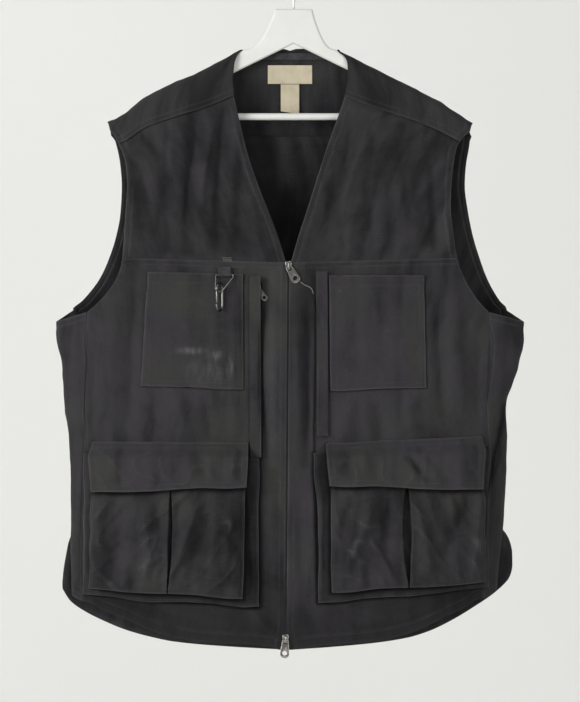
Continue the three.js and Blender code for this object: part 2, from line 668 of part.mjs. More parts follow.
// Front body: zip edge, yoke seam, armhole and side seam, hem.
function frontBody(side) {
  const zipTop = yokeSeamZ(0) - seamGap / 2;
  const hemCentre = hemZ(side, 0);
  const inner = (t) => {
    const z = mix(hemCentre, zipTop, t);
    return [zipX(z) + side.sign * zipHalfGap(z), z];
  };
  const armTop = yokeOuterDown(side);
  const seamTopZ = armholeZ(sideSeamTopFront);
  const seamInset = (side.sign * sideSeamGap) / 2;
  const hemCorner = (() => {
    const x = sideSeamX(side, heightOf(0.91)) - seamInset;
    return [x, hemZ(side, x)];
  })();
  const outer = edgeThrough([
    ...sample(16, (t) => {
      const z = mix(hemCorner[1], seamTopZ, t);
      return [sideSeamX(side, z) - seamInset, z];
    }),
    ...sample(9, (t) => {
      const down = mix(sideSeamTopFront, armTop, t);
      return [armholeX(side, down, "front"), armholeZ(down)];
    }).slice(1),
  ]);
  const foot = (u) => {
    const x = mix(inner(0)[0], outer(0)[0], u);
    return [x, mix(mix(hemCentre, hemZ(side, x), smooth(u * 20)), outer(0)[1], smooth((u - 0.9) * 10))];
  };
  const head = (u) => {
    const x = mix(inner(1)[0], outer(1)[0], u);
    return [x, yokeSeamZ(x) - seamGap / 2];
  };
  const end = (v) => (v === 1 ? head(1) : outer(v));
  return clothWall(frontSurface, between({ foot, head, start: inner, end }), towardsEnd(13), evenly(17));
}

// Side panel: from the front's side seam round the silhouette to the back's.
function sidePanel(side) {
  const surface = sideSurface(side);
  surface.facing = () => new THREE.Vector3(side.sign, 0, 0);
  const angleOf = (share) => Math.acos(clamp(share * share, 0, 1));
  const frontAngle = (z) => -angleOf((Math.abs(sideSeamX(side, z)) + sideSeamGap / 2) / bodyHalf(side, z));
  const backAngle = (z) => {
    const opened = smooth((levelOf(z) - ventTop) / ventOpening);
    return angleOf(mix(backSeamShare + seamGap / half, ventEdgeShare, opened));
  };
  const topAt = (t) => {
    const lift = t < 0.5 ? mix(sideSeamTopFront, 1, smooth(t * 2)) : mix(1, sideSeamTopBack, smooth(t * 2 - 1));
    return armholeZ(lift);
  };
  const footAt = (t, z) => {
    const angle = mix(frontAngle(z), backAngle(z), t);
    const x = side.sign * bodyHalf(side, z) * Math.sqrt(Math.cos(angle));
    return hemZ(side, x);
  };
  const low = (t) => footAt(t, heightOf(0.9));
  const patch = (u, v) => {
    const z = mix(low(u), topAt(u), v);
    return [mix(frontAngle(z), backAngle(z), u), z];
  };
  return clothWall(surface, patch, evenly(6), evenly(15), { steps: [0.02, 1] });
}

// Back body: back yoke seam, armholes, side seams, vents and hem.
function backBody() {
  const seamZ = heightOf(backYokeDrop / bodyLength) - seamGap / 2;
  const outer = (side) => {
    const armTop = (armholeZ(0) - seamZ) / armholeDepth;
    const seamTop = armholeZ(sideSeamTopBack);
    const ventZ = heightOf(ventTop);
    const edgeX = (z) => side.sign * half * read(ventEdgeTable, "level", side.name, levelOf(z));
    const seamX = (z) => side.sign * (backSeamShare * bodyHalf(side, z) - seamGap / 2);
    let corner = ventZ;
    while (corner > backHemZ(edgeX(corner))) corner -= 1;
    return edgeThrough([
      ...sample(8, (t) => [edgeX(mix(corner, ventZ, t)), mix(corner, ventZ, t)]).slice(0, -1),
      ...sample(14, (t) => [seamX(mix(ventZ, seamTop, t)), mix(ventZ, seamTop, t)]),
      ...sample(14, (t) => {
        const down = mix(sideSeamTopBack, armTop, t);
        return [armholeX(side, down, "back"), armholeZ(down)];
      }).slice(1),
    ]);
  };
  const start = outer(RIGHT);
  const end = outer(LEFT);
  const foot = (u) => {
    const x = mix(start(0)[0], end(0)[0], u);
    return [x, mix(mix(start(0)[1], backHemZ(x), smooth(u * 14)), end(0)[1], smooth((u - 1) * 14 + 1))];
  };
  const head = (u) => [mix(start(1)[0], end(1)[0], u), mix(start(1)[1], end(1)[1], u)];
  return clothWall(backSurface, between({ foot, head, start, end }), towardsEnds(17), evenly(19));
}

// Shoulder yoke: from the back seam over both shoulders to the front seams, open at the neck.
function shoulderYoke() {
  const seamZ = heightOf(backYokeDrop / bodyLength) + seamGap / 2;
  const quarter = (ridgeRadius * Math.PI) / 2;
  const backWalk = (x) => walkedTo(ridge(x) - seamZ);
  const overArm = [1.2, 0.8, 0.4, 0, -0.4, -0.8, -1.2].map((share) => share * quarter);
  const neckCurve = (share) => neckHalf * ridgeStart * Math.sqrt(Math.max(0, 1 - share * share));
  const halves = (side) => {
    const innerDown = seamInnerDown(side);
    const outerDown = seamOuterDown(side);
    const neckTop = walkedTo(backNeckDrop);
    const frontNeck = (walked) => {
      let down = 0;
      while (down < innerDown && walkedTo(Math.max(0, ridge(necklineX(side, down)) - necklineZ(down))) < walked) down += 0.002;
      return necklineX(side, down);
    };
    const backDown = (armholeZ(0) - seamZ) / armholeDepth;
    const backX = armholeX(side, backDown, "back");
    const tip = side.sign * tipHalf;
    const inner = [
      [0, backWalk(0)],
      [0, mix(backWalk(0), neckTop, 0.5)],
      ...overArm.map((walked) => {
        if (walked <= 0) return [walked === 0 ? side.sign * neckCurve(0) : frontNeck(-walked), walked];
        const reach = Math.min(1, walked / overArm[0]);
        return [side.sign * neckCurve(reach), neckTop * reach];
      }),
      [frontNeck(mix(-overArm[6], walkedTo(frontSeamInner), 0.5)), -mix(-overArm[6], walkedTo(frontSeamInner), 0.5)],
      [necklineX(side, innerDown), seamGap / 2 - walkedTo(frontSeamInner)],
    ];
    const frontArm = (walked) => {
      let down = 0;
      const dropAt = (d) => ridge(armholeX(side, d, "front")) - armholeZ(d);
      while (down < outerDown && walkedTo(Math.max(0, dropAt(down))) < walked) down += 0.002;
      return armholeX(side, down, "front");
    };
    const outer = [
      [backX, backWalk(backX)],
      [mix(backX, tip, 0.5), mix(backWalk(backX), overArm[0], 0.5)],
      ...overArm.map((walked) => [tip - side.sign * (1 + 3 * Math.abs(walked / quarter)), walked]),
      [frontArm(mix(-overArm[6], walkedTo(frontSeamOuter), 0.5)), -mix(-overArm[6], walkedTo(frontSeamOuter), 0.5)],
      [armholeX(side, outerDown, "front"), seamGap / 2 - walkedTo(frontSeamOuter)],
    ];
    const last = inner.length - 1;
    return (u, v) => {
      const row = Math.round(v * last);
      const x = mix(inner[row][0], outer[row][0], u);
      if (row === 0) return [x, backWalk(x)];
      if (row === last) return [x, seamGap / 2 - walkedTo(frontSeamDrop(u))];
      return [x, mix(inner[row][1], outer[row][1], u)];
    };
  };
  const wall = (side) => clothWall(yokeSurface, halves(side), evenly(8), evenly(overArm.length + 3), { steps: [0.5, 0.5] });
  return joined(wall(RIGHT), wall(LEFT));
}

for (const side of sides) {
  sew(`front_yoke_${side.name}`, frontYoke(side));
  sew(`front_body_${side.name}`, frontBody(side));
  sew(`side_panel_${side.name}`, sidePanel(side));
}
sew("back_body", backBody());
sew("shoulder_yoke", shoulderYoke());

// Each pocket and flap: its inner edge as a share of half the body's width at its top and foot, the
// level of its top, and how much higher the outer corner sits at the top and at the foot, as shares
// of the piece's height.
const placeTable = {
  chest_pocket: [
    { side: RIGHT, innerTop: 0.2, innerFoot: 0.198, level: 0.375, riseTop: 0.02, riseFoot: 0.035, flare: 0.07 },
    { side: LEFT, innerTop: 0.166, innerFoot: 0.172, level: 0.377, riseTop: 0, riseFoot: 0.03, flare: 0 },
  ],
  zip_strip: [
    { side: RIGHT, innerTop: 0.126, innerFoot: 0.122, level: 0.378, riseTop: 0, riseFoot: 0, flare: 0, tall: 1 },
    { side: LEFT, innerTop: 0.112, innerFoot: 0.116, level: 0.37, riseTop: 0, riseFoot: 0, flare: 0, tall: 0.91 },
  ],
  base_pocket: [
    { side: RIGHT, innerTop: 0.131, innerFoot: 0.133, level: 0.68, riseTop: 0.03, riseFoot: 0.085, flare: -0.01 },
    { side: LEFT, innerTop: 0.102, innerFoot: 0.12, level: 0.672, riseTop: 0.03, riseFoot: 0.1, flare: -0.045 },
  ],
  cargo_pocket: [
    { side: RIGHT, innerTop: 0.185, innerFoot: 0.2, level: 0.699, riseTop: -0.02, riseFoot: 0.06, flare: -0.02 },
    { side: LEFT, innerTop: 0.17, innerFoot: 0.176, level: 0.692, riseTop: 0, riseFoot: 0.05, flare: -0.04 },
  ],
  pocket_flap: [
    { side: RIGHT, innerTop: 0.177, innerFoot: 0.183, level: 0.6545, riseTop: 0.02, riseFoot: -0.11, flare: -0.045 },
    { side: LEFT, innerTop: 0.153, innerFoot: 0.166, level: 0.656, riseTop: 0.17, riseFoot: 0.0, flare: -0.055 },
  ],
};
function placed(piece, side, width, height) {
  const row = placeTable[piece].find((r) => r.side === side);
  return (u, v) => {
    const across = half * mix(row.innerFoot, row.innerTop, v) + width * u * (1 + row.flare * (1 - v));
    const tall = height * (row.tall ?? 1);
    const rise = tall * u * mix(row.riseFoot, row.riseTop, v);
    return [side.sign * across, heightOf(row.level) - tall * (1 - v) + rise];
  };
}
const onCloth = cloth / 2 + layerGap; // from the body's middle layer to the underside of what is sewn on

// Depth of a bellows pocket over its face: full in the middle, rounded at its sides and foot.
function pocketDepth(deep, atTop, pleated, width) {
  return (u, v) => {
    const sideways = smooth(Math.min(u, 1 - u) / pocketRound + 0.35);
    const upward = smooth(v / pocketRound + 0.35);
    const fill = mix(1, atTop, smooth(v));
    const pleat = pleated ? smooth((pleatWidth / 2 / width + 0.008 - Math.abs(u - 0.5)) / 0.012) : 0;
    return deep * sideways * upward * fill - pleatDepth * pleat * fill * upward;
  };
}

for (const side of sides) {
  sew(
    `chest_pocket_${side.name}`,
    clothWall(
      frontSurface,
      placed("chest_pocket", side, chestPocketWidth, chestPocketHeight),
      evenly(6),
      evenly(7),
      { lift: cloth + flatGap },
    ),
  );
  sew(
    `zip_strip_${side.name}`,
    clothWall(
      frontSurface,
      placed("zip_strip", side, stripWidth, stripHeight),
      evenly(3),
      evenly(9),
      { lift: (u) => cloth + flatGap + (side === RIGHT ? stripLift : stripLift / 2) * (1 - u) ** 1.6 },
    ),
  );
  const across = [0, 0.03, 0.08, 0.2, 0.35, 0.5, 0.65, 0.8, 0.92, 0.97, 1];
  sew(
    `base_pocket_${side.name}`,
    bellows(placed("base_pocket", side, basePocketWidth, basePocketHeight), across, evenly(7), {
      base: onCloth,
      depth: pocketDepth(basePocketDepth, 0.6, false, basePocketWidth),
      inset: [0.012, 0.012],
    }),
  );
  const notch = pleatWidth / 2 / cargoPocketWidth;
  const pleated = [0, 0.03, 0.08, 0.25, 0.4, 0.49 - notch, 0.502 - notch, 0.498 + notch, 0.51 + notch, 0.6, 0.75, 0.92];
  sew(
    `cargo_pocket_${side.name}`,
    bellows(
      placed("cargo_pocket", side, cargoPocketWidth, cargoPocketHeight),
      [...pleated, 0.97, 1],
      [0, 0.03, 0.08, 0.3, 0.55, 0.8, 1],
      {
        base: onCloth + basePocketDepth + flatGap,
        depth: pocketDepth(cargoPocketDepth, 0.5, true, cargoPocketWidth),
        inset: [0.012, 0.014],
      },
    ),
  );
  const flapRun = flapSlope / flapHeight;
  const overPocket = basePocketDepth + layerGap + cargoPocketDepth * 0.72;
  sew(
    `pocket_flap_${side.name}`,
    clothWall(
      frontSurface,
      placed("pocket_flap", side, flapWidth, flapHeight),
      evenly(9),
      [0, 0.3, 0.55, 1 - flapRun * 1.7, 1 - flapRun * 0.9, 1 - flapRun * 0.35, 1],
      { lift: (u, v) => onCloth + cloth / 2 + overPocket * smooth((1 - v) / (flapRun * 1.7)) },
    ),
  );
}

// A round wire along a path, open with flat ends, or closed on itself.
function wire(path, radius, sidesRound = 8, closed = false) {
  const count = path.length;
  const tangents = path.map((_, k) => {
    const before = closed ? path[(k + count - 1) % count] : path[Math.max(0, k - 1)];
    const after = closed ? path[(k + 1) % count] : path[Math.min(count - 1, k + 1)];
    return after.clone().sub(before).normalize();
  });
  const flat = new THREE.Vector3();
  for (let k = 1; k < count - 1; k += 1) {
    const bend = path[k].clone().sub(path[k - 1]).cross(path[k + 1].clone().sub(path[k]));
    if (bend.length() > flat.length()) flat.copy(bend);
  }
  flat.normalize();
  const points = [];
  path.forEach((p, k) => {
    const side = tangents[k].clone().cross(flat).normalize();
    for (let j = 0; j < sidesRound; j += 1) {
      const angle = (2 * Math.PI * j) / sidesRound;
      const q = p
        .clone()
        .addScaledVector(side, radius * Math.cos(angle))
        .addScaledVector(flat, radius * Math.sin(angle));
      points.push(q.x, q.y, q.z);
    }
  });
  const at = (k, j) => (k % count) * sidesRound + (j % sidesRound);
  const triangles = [];
  for (let k = 0; k < (closed ? count : count - 1); k += 1) {
    for (let j = 0; j < sidesRound; j += 1) {
      triangles.push([at(k, j), at(k + 1, j), at(k + 1, j + 1)], [at(k, j), at(k + 1, j + 1), at(k, j + 1)]);
    }
  }
  if (!closed) {
    for (let j = 1; j < sidesRound - 1; j += 1) {
      triangles.push([at(0, 0), at(0, j), at(0, j + 1)], [at(count - 1, 0), at(count - 1, j + 1), at(count - 1, j)]);
    }
  }
  return closedMesh(points, triangles);
}
const arc = (cx, cz, radius, from, to, count) =>
  sample(count, (t) => {
    const angle = THREE.MathUtils.degToRad(mix(from, to, t));
    return new THREE.Vector3(cx + radius * Math.cos(angle), 0, cz + radius * Math.sin(angle));
  });

// Zip: tapes and teeth behind the two front edges.
const zipTop = yokeSeamZ(0) - seamGap / 2;
const topSliderZ = zipTop - sliderLength * 0.35;
const hemCentreZ = Math.max(hemZ(RIGHT, 0), hemZ(LEFT, 0));
const bottomSliderZ = hemCentreZ + bottomSliderRise;
const chainTop = topSliderZ - sliderLength / 2 - 0.6;
const chainFoot = bottomSliderZ + sliderLength / 2 + 0.6;
const behind = cloth / 2 + behindCloth;
const zipPatch = (inner, outer) => (u, v) => {
  const z = mix(chainFoot, chainTop, v);
  return [zipX(z) + mix(inner, outer, u), z];
};
for (const side of sides) {
  const inner = side.sign * (chainWidth / 2 + 0.3);
  sew(
    `zip_tape_${side.name}`,
    clothWall(
      frontSurface,
      zipPatch(inner, inner + side.sign * tapeWidth),
      evenly(1),
      evenly(17),
      { thickness: tapeThickness, lift: -behind - tapeThickness / 2 },
    ),
    tapeCloth,
  );
}
sew(
  "zip_chain",
  clothWall(
    frontSurface,
    zipPatch(-chainWidth / 2, chainWidth / 2),
    evenly(1),
    evenly(17),
    { thickness: chainThickness, lift: -behind - chainThickness / 2 },
  ),
  darkSteel,
);

// A slider: front plate, neck between the cloth's edges, rear plate, and the bridge that holds the
// pull. Its own frame has the front plate's face at zero, with minus Y towards the viewer.
function slider(size, through) {
  const width = sliderWidth * size;
  const length = sliderLength * size;
  const plate = sliderPlate * size;
  const bridge = bridgeWidth * size;
  const bar = bridgeBar * size;
  const rise = bridgeRise * size;
  const long = bridgeLength * size;
  const solids = [
    block(width, plate, length * 0.62, 0, plate / 2, length * 0.19),
    block(width * 0.7, plate, length * 0.5, 0, plate / 2, -length * 0.25),
    block(bridge, bar, long, 0, bar / 2 - rise, 0),
    block(bridge, rise + 0.1, bar, 0, 0.1 - (rise + 0.1) / 2, long / 2 - bar / 2),
    block(bridge, rise + 0.1, bar, 0, 0.1 - (rise + 0.1) / 2, bar / 2 - long / 2),
  ];
  if (through > 0) {
    solids.push(block(sliderNeck, through + 0.2, length * 0.8, 0, plate + through / 2, 0));
    solids.push(block(width * 0.8, plate * 0.8, length * 0.9, 0, plate + through + plate * 0.4, 0));
  }
  return joined(...solids);
}
// A pull hanging from the bridge: a tapered plate with a slot at its top and an eye at its foot. Its
// own frame has the hinge at the origin.
function pull(size) {
  const top = (pullTopWidth * size) / 2;
  const foot = (pullFootWidth * size) / 2;
  const bar = 0.9 * size;
  const low = bar - pullLength * size;
  const shape = new THREE.Shape();
  shape.moveTo(-top, bar);
  shape.lineTo(-foot, low + foot * 0.75);
  for (const corner of arc(0, 0, foot, 210, 330, 6)) {
    shape.lineTo(corner.x * 0.98, low + foot + corner.z);
  }
  shape.lineTo(foot, low + foot * 0.75);
  shape.lineTo(top, bar);
  const slot = new THREE.Path();
  const slotHalf = top - pullRail * size;
  slot.moveTo(-slotHalf, -bar);
  slot.lineTo(slotHalf, -bar);
  slot.lineTo(slotHalf, -bar - pullWindow * size);
  slot.lineTo(-slotHalf, -bar - pullWindow * size);
  shape.holes.push(slot);
  const eye = new THREE.Path();
  arc(0, low + foot * 1.08, pullEye * size, 0, 330, 11).forEach((p, k) => {
    if (k === 0) eye.moveTo(p.x, p.z);
    else eye.lineTo(p.x, p.z);
  });
  shape.holes.push(eye);
  const thick = pullThickness * size;
  const geometry = new THREE.ExtrudeGeometry(shape, { depth: thick, bevelEnabled: false });
  geometry.translate(0, 0, -thick / 2);
  geometry.rotateX(Math.PI / 2);
  return geometry;
}
// Puts a slider and its pull on the vest. faceY is where the front plate rests.
function zipSet({ name, size, lean, x, z, faceY, through, material }) {
  const plateBack = faceY - sliderPlate * size;
  const body = sew(`${name}_slider`, slider(size, through), material);
  body.position.set(x, plateBack, z);
  const hang = (bridgeLength / 2 - bridgeBar - 0.9 - pullClearance) * size;
  const hinge = sew(`${name}_pull`, pull(size), material);
  hinge.position.set(x, plateBack - ((bridgeRise - bridgeBar) / 2) * size, z - hang);
  hinge.rotation.y = -THREE.MathUtils.degToRad(lean);
  hinge.userData.axis = new THREE.Vector3(1, 0, 0).applyEuler(hinge.rotation);
}
const faceAt = (x, z) => frontSurface.point(x, z).y - cloth / 2 - 0.4;
const throughCloth = cloth + 0.8;
zipSet({
  name: "top",
  size: 1,
  lean: topPullLean,
  x: zipX(topSliderZ),
  z: topSliderZ,
  faceY: faceAt(zipX(topSliderZ), topSliderZ),
  through: throughCloth,
  material: nickel,
});
zipSet({
  name: "bottom",
  size: 1,
  lean: -4,
  x: zipX(bottomSliderZ),
  z: bottomSliderZ,
  faceY: faceAt(zipX(bottomSliderZ), bottomSliderZ),
  through: throughCloth,
  material: nickel,
});

// The zip of the pocket behind the right strip: teeth, slider and pull under the strip's free edge.
const strip = placed("zip_strip", RIGHT, stripWidth, stripHeight);
const pocketChainAt = (v) => {
  const [x, z] = strip(0, v);
  return [x - pocketChainInset, z];
};
const pocketSliderV = 1 - pocketSliderDown / stripHeight;
const handPocket = placed("base_pocket", RIGHT, basePocketWidth, basePocketHeight);
const pocketFootV = (handPocket(0, 1)[1] + pocketChainFoot - strip(0, 0)[1]) / stripHeight;
sew(
  "pocket_zip",
  clothWall(
    frontSurface,
    (u, v) => {
      const below = pocketSliderV - (sliderLength * pocketHardware * 0.5 + 0.6) / stripHeight;
      const [x, z] = pocketChainAt(mix(pocketFootV, below, v));
      return [x + (u - 0.5) * pocketChainWidth, z];
    },
    evenly(1),
    evenly(8),
    { thickness: pocketChainThickness, lift: cloth / 2 + 0.5 + pocketChainThickness / 2 },
  ),
  darkSteel,
);
const [pocketX, pocketZ] = pocketChainAt(pocketSliderV);
zipSet({
  name: "pocket",
  size: pocketHardware,
  lean: pocketPullLean,
  x: pocketX,
  z: pocketZ,
  faceY: faceAt(pocketX, pocketZ),
  through: 0,
  material: darkSteel,
});

// Webbing tab with the ring in its loop, and the spring clip hanging from the ring.
const loopInner = ringWire / 2 + 0.5;
const loopOuter = loopInner + tabThickness;
const tabX = -tabAcross;
const tabZ = yokeSeamZ(tabX) - seamGap / 2 - tabTail - loopOuter * 0.6;
const tabY = frontSurface.point(tabX, tabZ).y - 1.5 * cloth - flatGap - 0.9 - loopOuter;
{
  const shape = new THREE.Shape();
  const shoulder = Math.asin(tabThickness / loopOuter);
  const back = arc(0, 0, loopOuter, 180, 360, 8).concat(
    arc(0, 0, loopOuter, 0, 90 - THREE.MathUtils.radToDeg(shoulder), 3).slice(1),
  );
  shape.moveTo(-loopOuter, 0);
  back.slice(1).forEach((p) => shape.lineTo(p.x, p.z));
  shape.lineTo(-loopOuter + 2 * tabThickness, loopOuter * 0.9);
  shape.lineTo(-loopOuter + 2 * tabThickness, loopOuter * 0.6 + tabTail);
  shape.lineTo(-loopOuter, loopOuter * 0.6 + tabTail);
  const hole = new THREE.Path();
  arc(0, 0, loopInner, 0, 315, 7).forEach((p, k) => (k === 0 ? hole.moveTo(p.x, p.z) : hole.lineTo(p.x, p.z)));
  shape.holes.push(hole);
  const geometry = new THREE.ExtrudeGeometry(shape, { depth: tabWidth, bevelEnabled: false });
  geometry.rotateY(Math.PI / 2);
  geometry.rotateX(Math.PI / 2);
  geometry.rotateX(Math.PI);
  const tab = sew("ring_tab", geometry, tapeCloth);
  tab.userData.wanted = true;
  geometry.computeBoundingBox();
  tab.userData.box = geometry.boundingBox;
  tab.position.set(tabX - tabWidth / 2, tabY, tabZ);
}
const ringFoot = [-6.5, -ringDrop + ringFootRadius];
{
  const topHalf = ringTopWidth / 2;
  const path = [
    ...arc(-topHalf + 2.4, -2.4, 2.4, 180, 90, 3),
    ...arc(topHalf - 2.4, -2.4, 2.4, 90, -20, 3),
    ...arc(ringFoot[0], ringFoot[1], ringFootRadius, -35, -175, 5),
  ];
  const ring = sew("tab_ring", wire(path, ringWire / 2, 8, true), nickel);
  ring.position.set(tabX, tabY, tabZ);
  ring.rotation.x = -THREE.MathUtils.degToRad(ringTilt);
}
{
  const bow = clipWidth / 2 - clipWire / 2;
  const long = clipLength - clipWire;
  const gateTop = -bow - (long - 2 * bow - gateLength) / 2;
  const gateFoot = gateTop - gateLength;
  const body = wire(
    [
      new THREE.Vector3(-bow, 0, gateFoot - clipPlay - clipWire * 0.5),
      ...arc(0, bow - long, bow, 180, 360, 7),
      ...arc(0, -bow, bow, 0, 180, 7),
      new THREE.Vector3(-bow, 0, gateTop + clipPlay),
    ],
    clipWire / 2,
    8,
  );
  const clip = new THREE.Group();
  const foot = new THREE.Vector3(ringFoot[0], 0, ringFoot[1] - ringFootRadius);
  foot.z += ringWire / 2 + clipWire / 2 + 0.9;
  foot.applyAxisAngle(new THREE.Vector3(1, 0, 0), -THREE.MathUtils.degToRad(ringTilt));
  clip.position.set(tabX + foot.x, tabY + foot.y, tabZ + foot.z);
  clip.rotation.z = THREE.MathUtils.degToRad(clipTurn);
  const bodyMesh = new THREE.Mesh(body, nickel);
  bodyMesh.name = "clip_body";
  const gate = new THREE.Mesh(
    wire(
      [new THREE.Vector3(0, 0, 0), new THREE.Vector3(0, 0, gateLength * 0.5), new THREE.Vector3(0, 0, gateLength)].map(
        (p, k) => p.setX(k === 1 ? 1e-3 : 0),
      ),
      clipWire * 0.42,
      8,
    ),
    nickel,
  );
  gate.name = "clip_gate";
  gate.position.set(-bow, 0, gateFoot);
  clip.add(bodyMesh, gate);
  vest.add(clip);
  pieces.push(bodyMesh, gate);
}

// Labels and the tape inside the back of the neck.
const insideBack = (thickness, gap) => -(cloth / 2 + gap + thickness / 2);
const insidePatch = (width, top, height, slant = 0) => (u, v) => {
  const z = neckZ - top - height * (1 - v) - slant * u * (1 - v);
  return [(u - 0.5) * width, z];
};
sew(
  "neck_label",
  clothWall(backSurface, insidePatch(labelWidth, labelTop, labelHeight), evenly(4), evenly(3), {
    thickness: labelThickness,
    lift: insideBack(labelThickness, 0.5),
  }),
  wovenLabel,
);
sew(
  "care_label",
  clothWall(
    backSurface,
    insidePatch(careLabelWidth, labelTop + labelHeight + 0.6, careLabelHeight, 4),
    evenly(2),
    evenly(5),
    {
      thickness: labelThickness * 0.6,
      lift: (u, v) => insideBack(labelThickness, 0.5) - 3 * (1 - v) ** 1.5,
    },
  ),
  wovenLabel,
);
sew(
  "neck_tape",
  clothWall(backSurface, insidePatch(neckTapeLength, 3.5, neckTapeWidth), evenly(8), evenly(1), {
    thickness: tapeThickness,
    lift: insideBack(tapeThickness, 0.8),
  }),
  tapeCloth,
);

// Hanger, in the hook's own frame.
const hanger = new THREE.Group();
const addHanger = (name, geometry, material) => {
  const mesh = new THREE.Mesh(geometry, material);
  mesh.name = name;
  hanger.add(mesh);
  return mesh;
};
const woodTopAt = (x) => ridge(x - vestShift) - cloth / 2 - woodClearance;
const tipX = hangerWidth / 2;
const meetX = (sign) => neckHalf * ridgeStart + sign * vestShift - 6; // the wood comes out of the neck here
const barZ = -(hookRise + barDrop);
const barHalf = tipX - barSocket;
{
  const concave = (t) => Math.pow(1 - t, 2.1);
  const outlineHalf = (sign) => {
    const top = sample(8, (t) => {
      const x = mix(neckWoodHalf, meetX(sign), t);
      return [sign * x, mix(woodTopAt(sign * meetX(sign)), -hookRise, concave(t))];
    });
    const arm = sample(8, (t) => {
      const x = mix(meetX(sign), tipX - 6, t);
      return [sign * x, woodTopAt(sign * x)];
    }).slice(1);
    const end = [
      [sign * (tipX - 1.5), woodTopAt(sign * tipX) - 5],
      [sign * tipX, woodTopAt(sign * tipX) - 12],
      [sign * tipX, barZ - 2],
      [sign * (tipX - 4), barZ - barDiameter / 2 - 2.5],
      [sign * (barHalf + 4), barZ - barDiameter / 2 - 2.5],
      [sign * (barHalf + 0.3), barZ - barDiameter / 2 + 1],
      [sign * (barHalf + 0.3), -(hookRise + underApex) - underSlope * barHalf],
    ];
    return [...top, ...arm, ...end];
  };
  const left = outlineHalf(1);
  const right = outlineHalf(-1).reverse();
  const shape = new THREE.Shape();
  [...right, ...left, [0, -(hookRise + underApex)]].forEach(([x, z], k) =>
    k === 0 ? shape.moveTo(x, z) : shape.lineTo(x, z),
  );
  const wood = new THREE.ExtrudeGeometry(shape, {
    depth: woodThickness - 2 * woodEdgeRound,
    bevelEnabled: true,
    bevelThickness: woodEdgeRound,
    bevelSize: woodEdgeRound,
    bevelOffset: -woodEdgeRound,
    bevelSegments: 2,
  });
  wood.translate(0, 0, -(woodThickness - 2 * woodEdgeRound) / 2);
  wood.rotateX(Math.PI / 2);
  addHanger("hanger_wood", wood, paint);
}
{
  const bar = new THREE.CylinderGeometry(barDiameter / 2, barDiameter / 2, 2 * barHalf, 12);
  bar.rotateZ(Math.PI / 2);
  bar.translate(0, 0, barZ);
  addHanger("hanger_bar", bar, paint);
}
{
  const bow = hookRadius + hookWire / 2;
  const centreZ = -hookRadius;
  const stem = new THREE.Vector3(0, 0, -hookRise + 0.3);
  const path = [
    stem,
    new THREE.Vector3(0, 0, centreZ - bow - 6),
    new THREE.Vector3(0.8, 0, centreZ - bow - 1.5),
    ...arc(0, centreZ, bow, -68, 175, 14),
  ];
  addHanger("hanger_hook", wire(path, hookWire / 2, 8), chrome);
}

const whole = new THREE.Group();
whole.add(vest, hanger);
export default whole;
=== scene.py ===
import json
import math

import bmesh
import bpy
import numpy as np
from mathutils import Matrix, Vector


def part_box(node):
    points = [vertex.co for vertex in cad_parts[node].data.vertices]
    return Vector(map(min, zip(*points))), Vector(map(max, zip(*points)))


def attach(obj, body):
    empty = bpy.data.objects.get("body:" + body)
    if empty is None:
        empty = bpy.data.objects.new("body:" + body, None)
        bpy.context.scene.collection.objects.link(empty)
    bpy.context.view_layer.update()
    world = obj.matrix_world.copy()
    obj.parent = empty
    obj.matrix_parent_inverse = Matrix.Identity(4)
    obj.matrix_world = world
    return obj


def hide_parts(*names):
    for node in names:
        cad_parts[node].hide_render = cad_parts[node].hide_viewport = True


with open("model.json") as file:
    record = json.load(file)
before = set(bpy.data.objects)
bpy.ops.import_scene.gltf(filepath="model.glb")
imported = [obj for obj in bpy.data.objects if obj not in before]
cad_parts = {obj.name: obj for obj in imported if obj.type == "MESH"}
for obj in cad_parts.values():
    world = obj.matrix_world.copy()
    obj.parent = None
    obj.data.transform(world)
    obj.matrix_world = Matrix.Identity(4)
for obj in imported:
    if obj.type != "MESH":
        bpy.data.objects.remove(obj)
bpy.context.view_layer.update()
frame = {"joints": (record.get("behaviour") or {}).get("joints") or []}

print("frame loaded")

# Everything below is worked out in millimetres and turned into metres when a mesh is made.
vest = {
    "hookRise": 60, "neckDrop": 55, "shift": -5,  # the vest hangs a little off the hook's line
    "length": 808, "width": 630, "shoulders": 494, "shoulderDrop": 99,
    "neckWidth": 154, "neckRise": 16, "backNeckDrop": 15, "neckDepth": 289, "armholeDepth": 267,
    "frontBulge": 46, "backBulge": 30, "ridgeRadius": 9.4, "bulgeRun": 60,
    "frontYokeDrop": 281, "yokeSeamDip": 6, "frontSeamInner": 57, "frontSeamOuter": 36, "backYokeDrop": 122,
    "ventTop": 0.775, "ventOpening": 0.02, "ventEdge": 0.985, "sideSeamTopFront": 0.955, "sideSeamTopBack": 0.93,
    "backSeamShare": 0.932, "ridgeStart": 0.86,
    "zipGap": 2.6, "zipPartLevel": 0.956, "zipParted": 9, "zipLean": -6,
    "cloth": 1.5, "seamGap": 0.5,
}
neckZ = -(vest["hookRise"] + vest["neckDrop"])
half = vest["width"] / 2
neckHalf = vest["neckWidth"] / 2
tipHalf = vest["shoulders"] / 2
armTopLevel = vest["shoulderDrop"] / vest["length"]
armFootLevel = (vest["shoulderDrop"] + vest["armholeDepth"]) / vest["length"]
quarterBend = vest["ridgeRadius"] * math.pi / 2

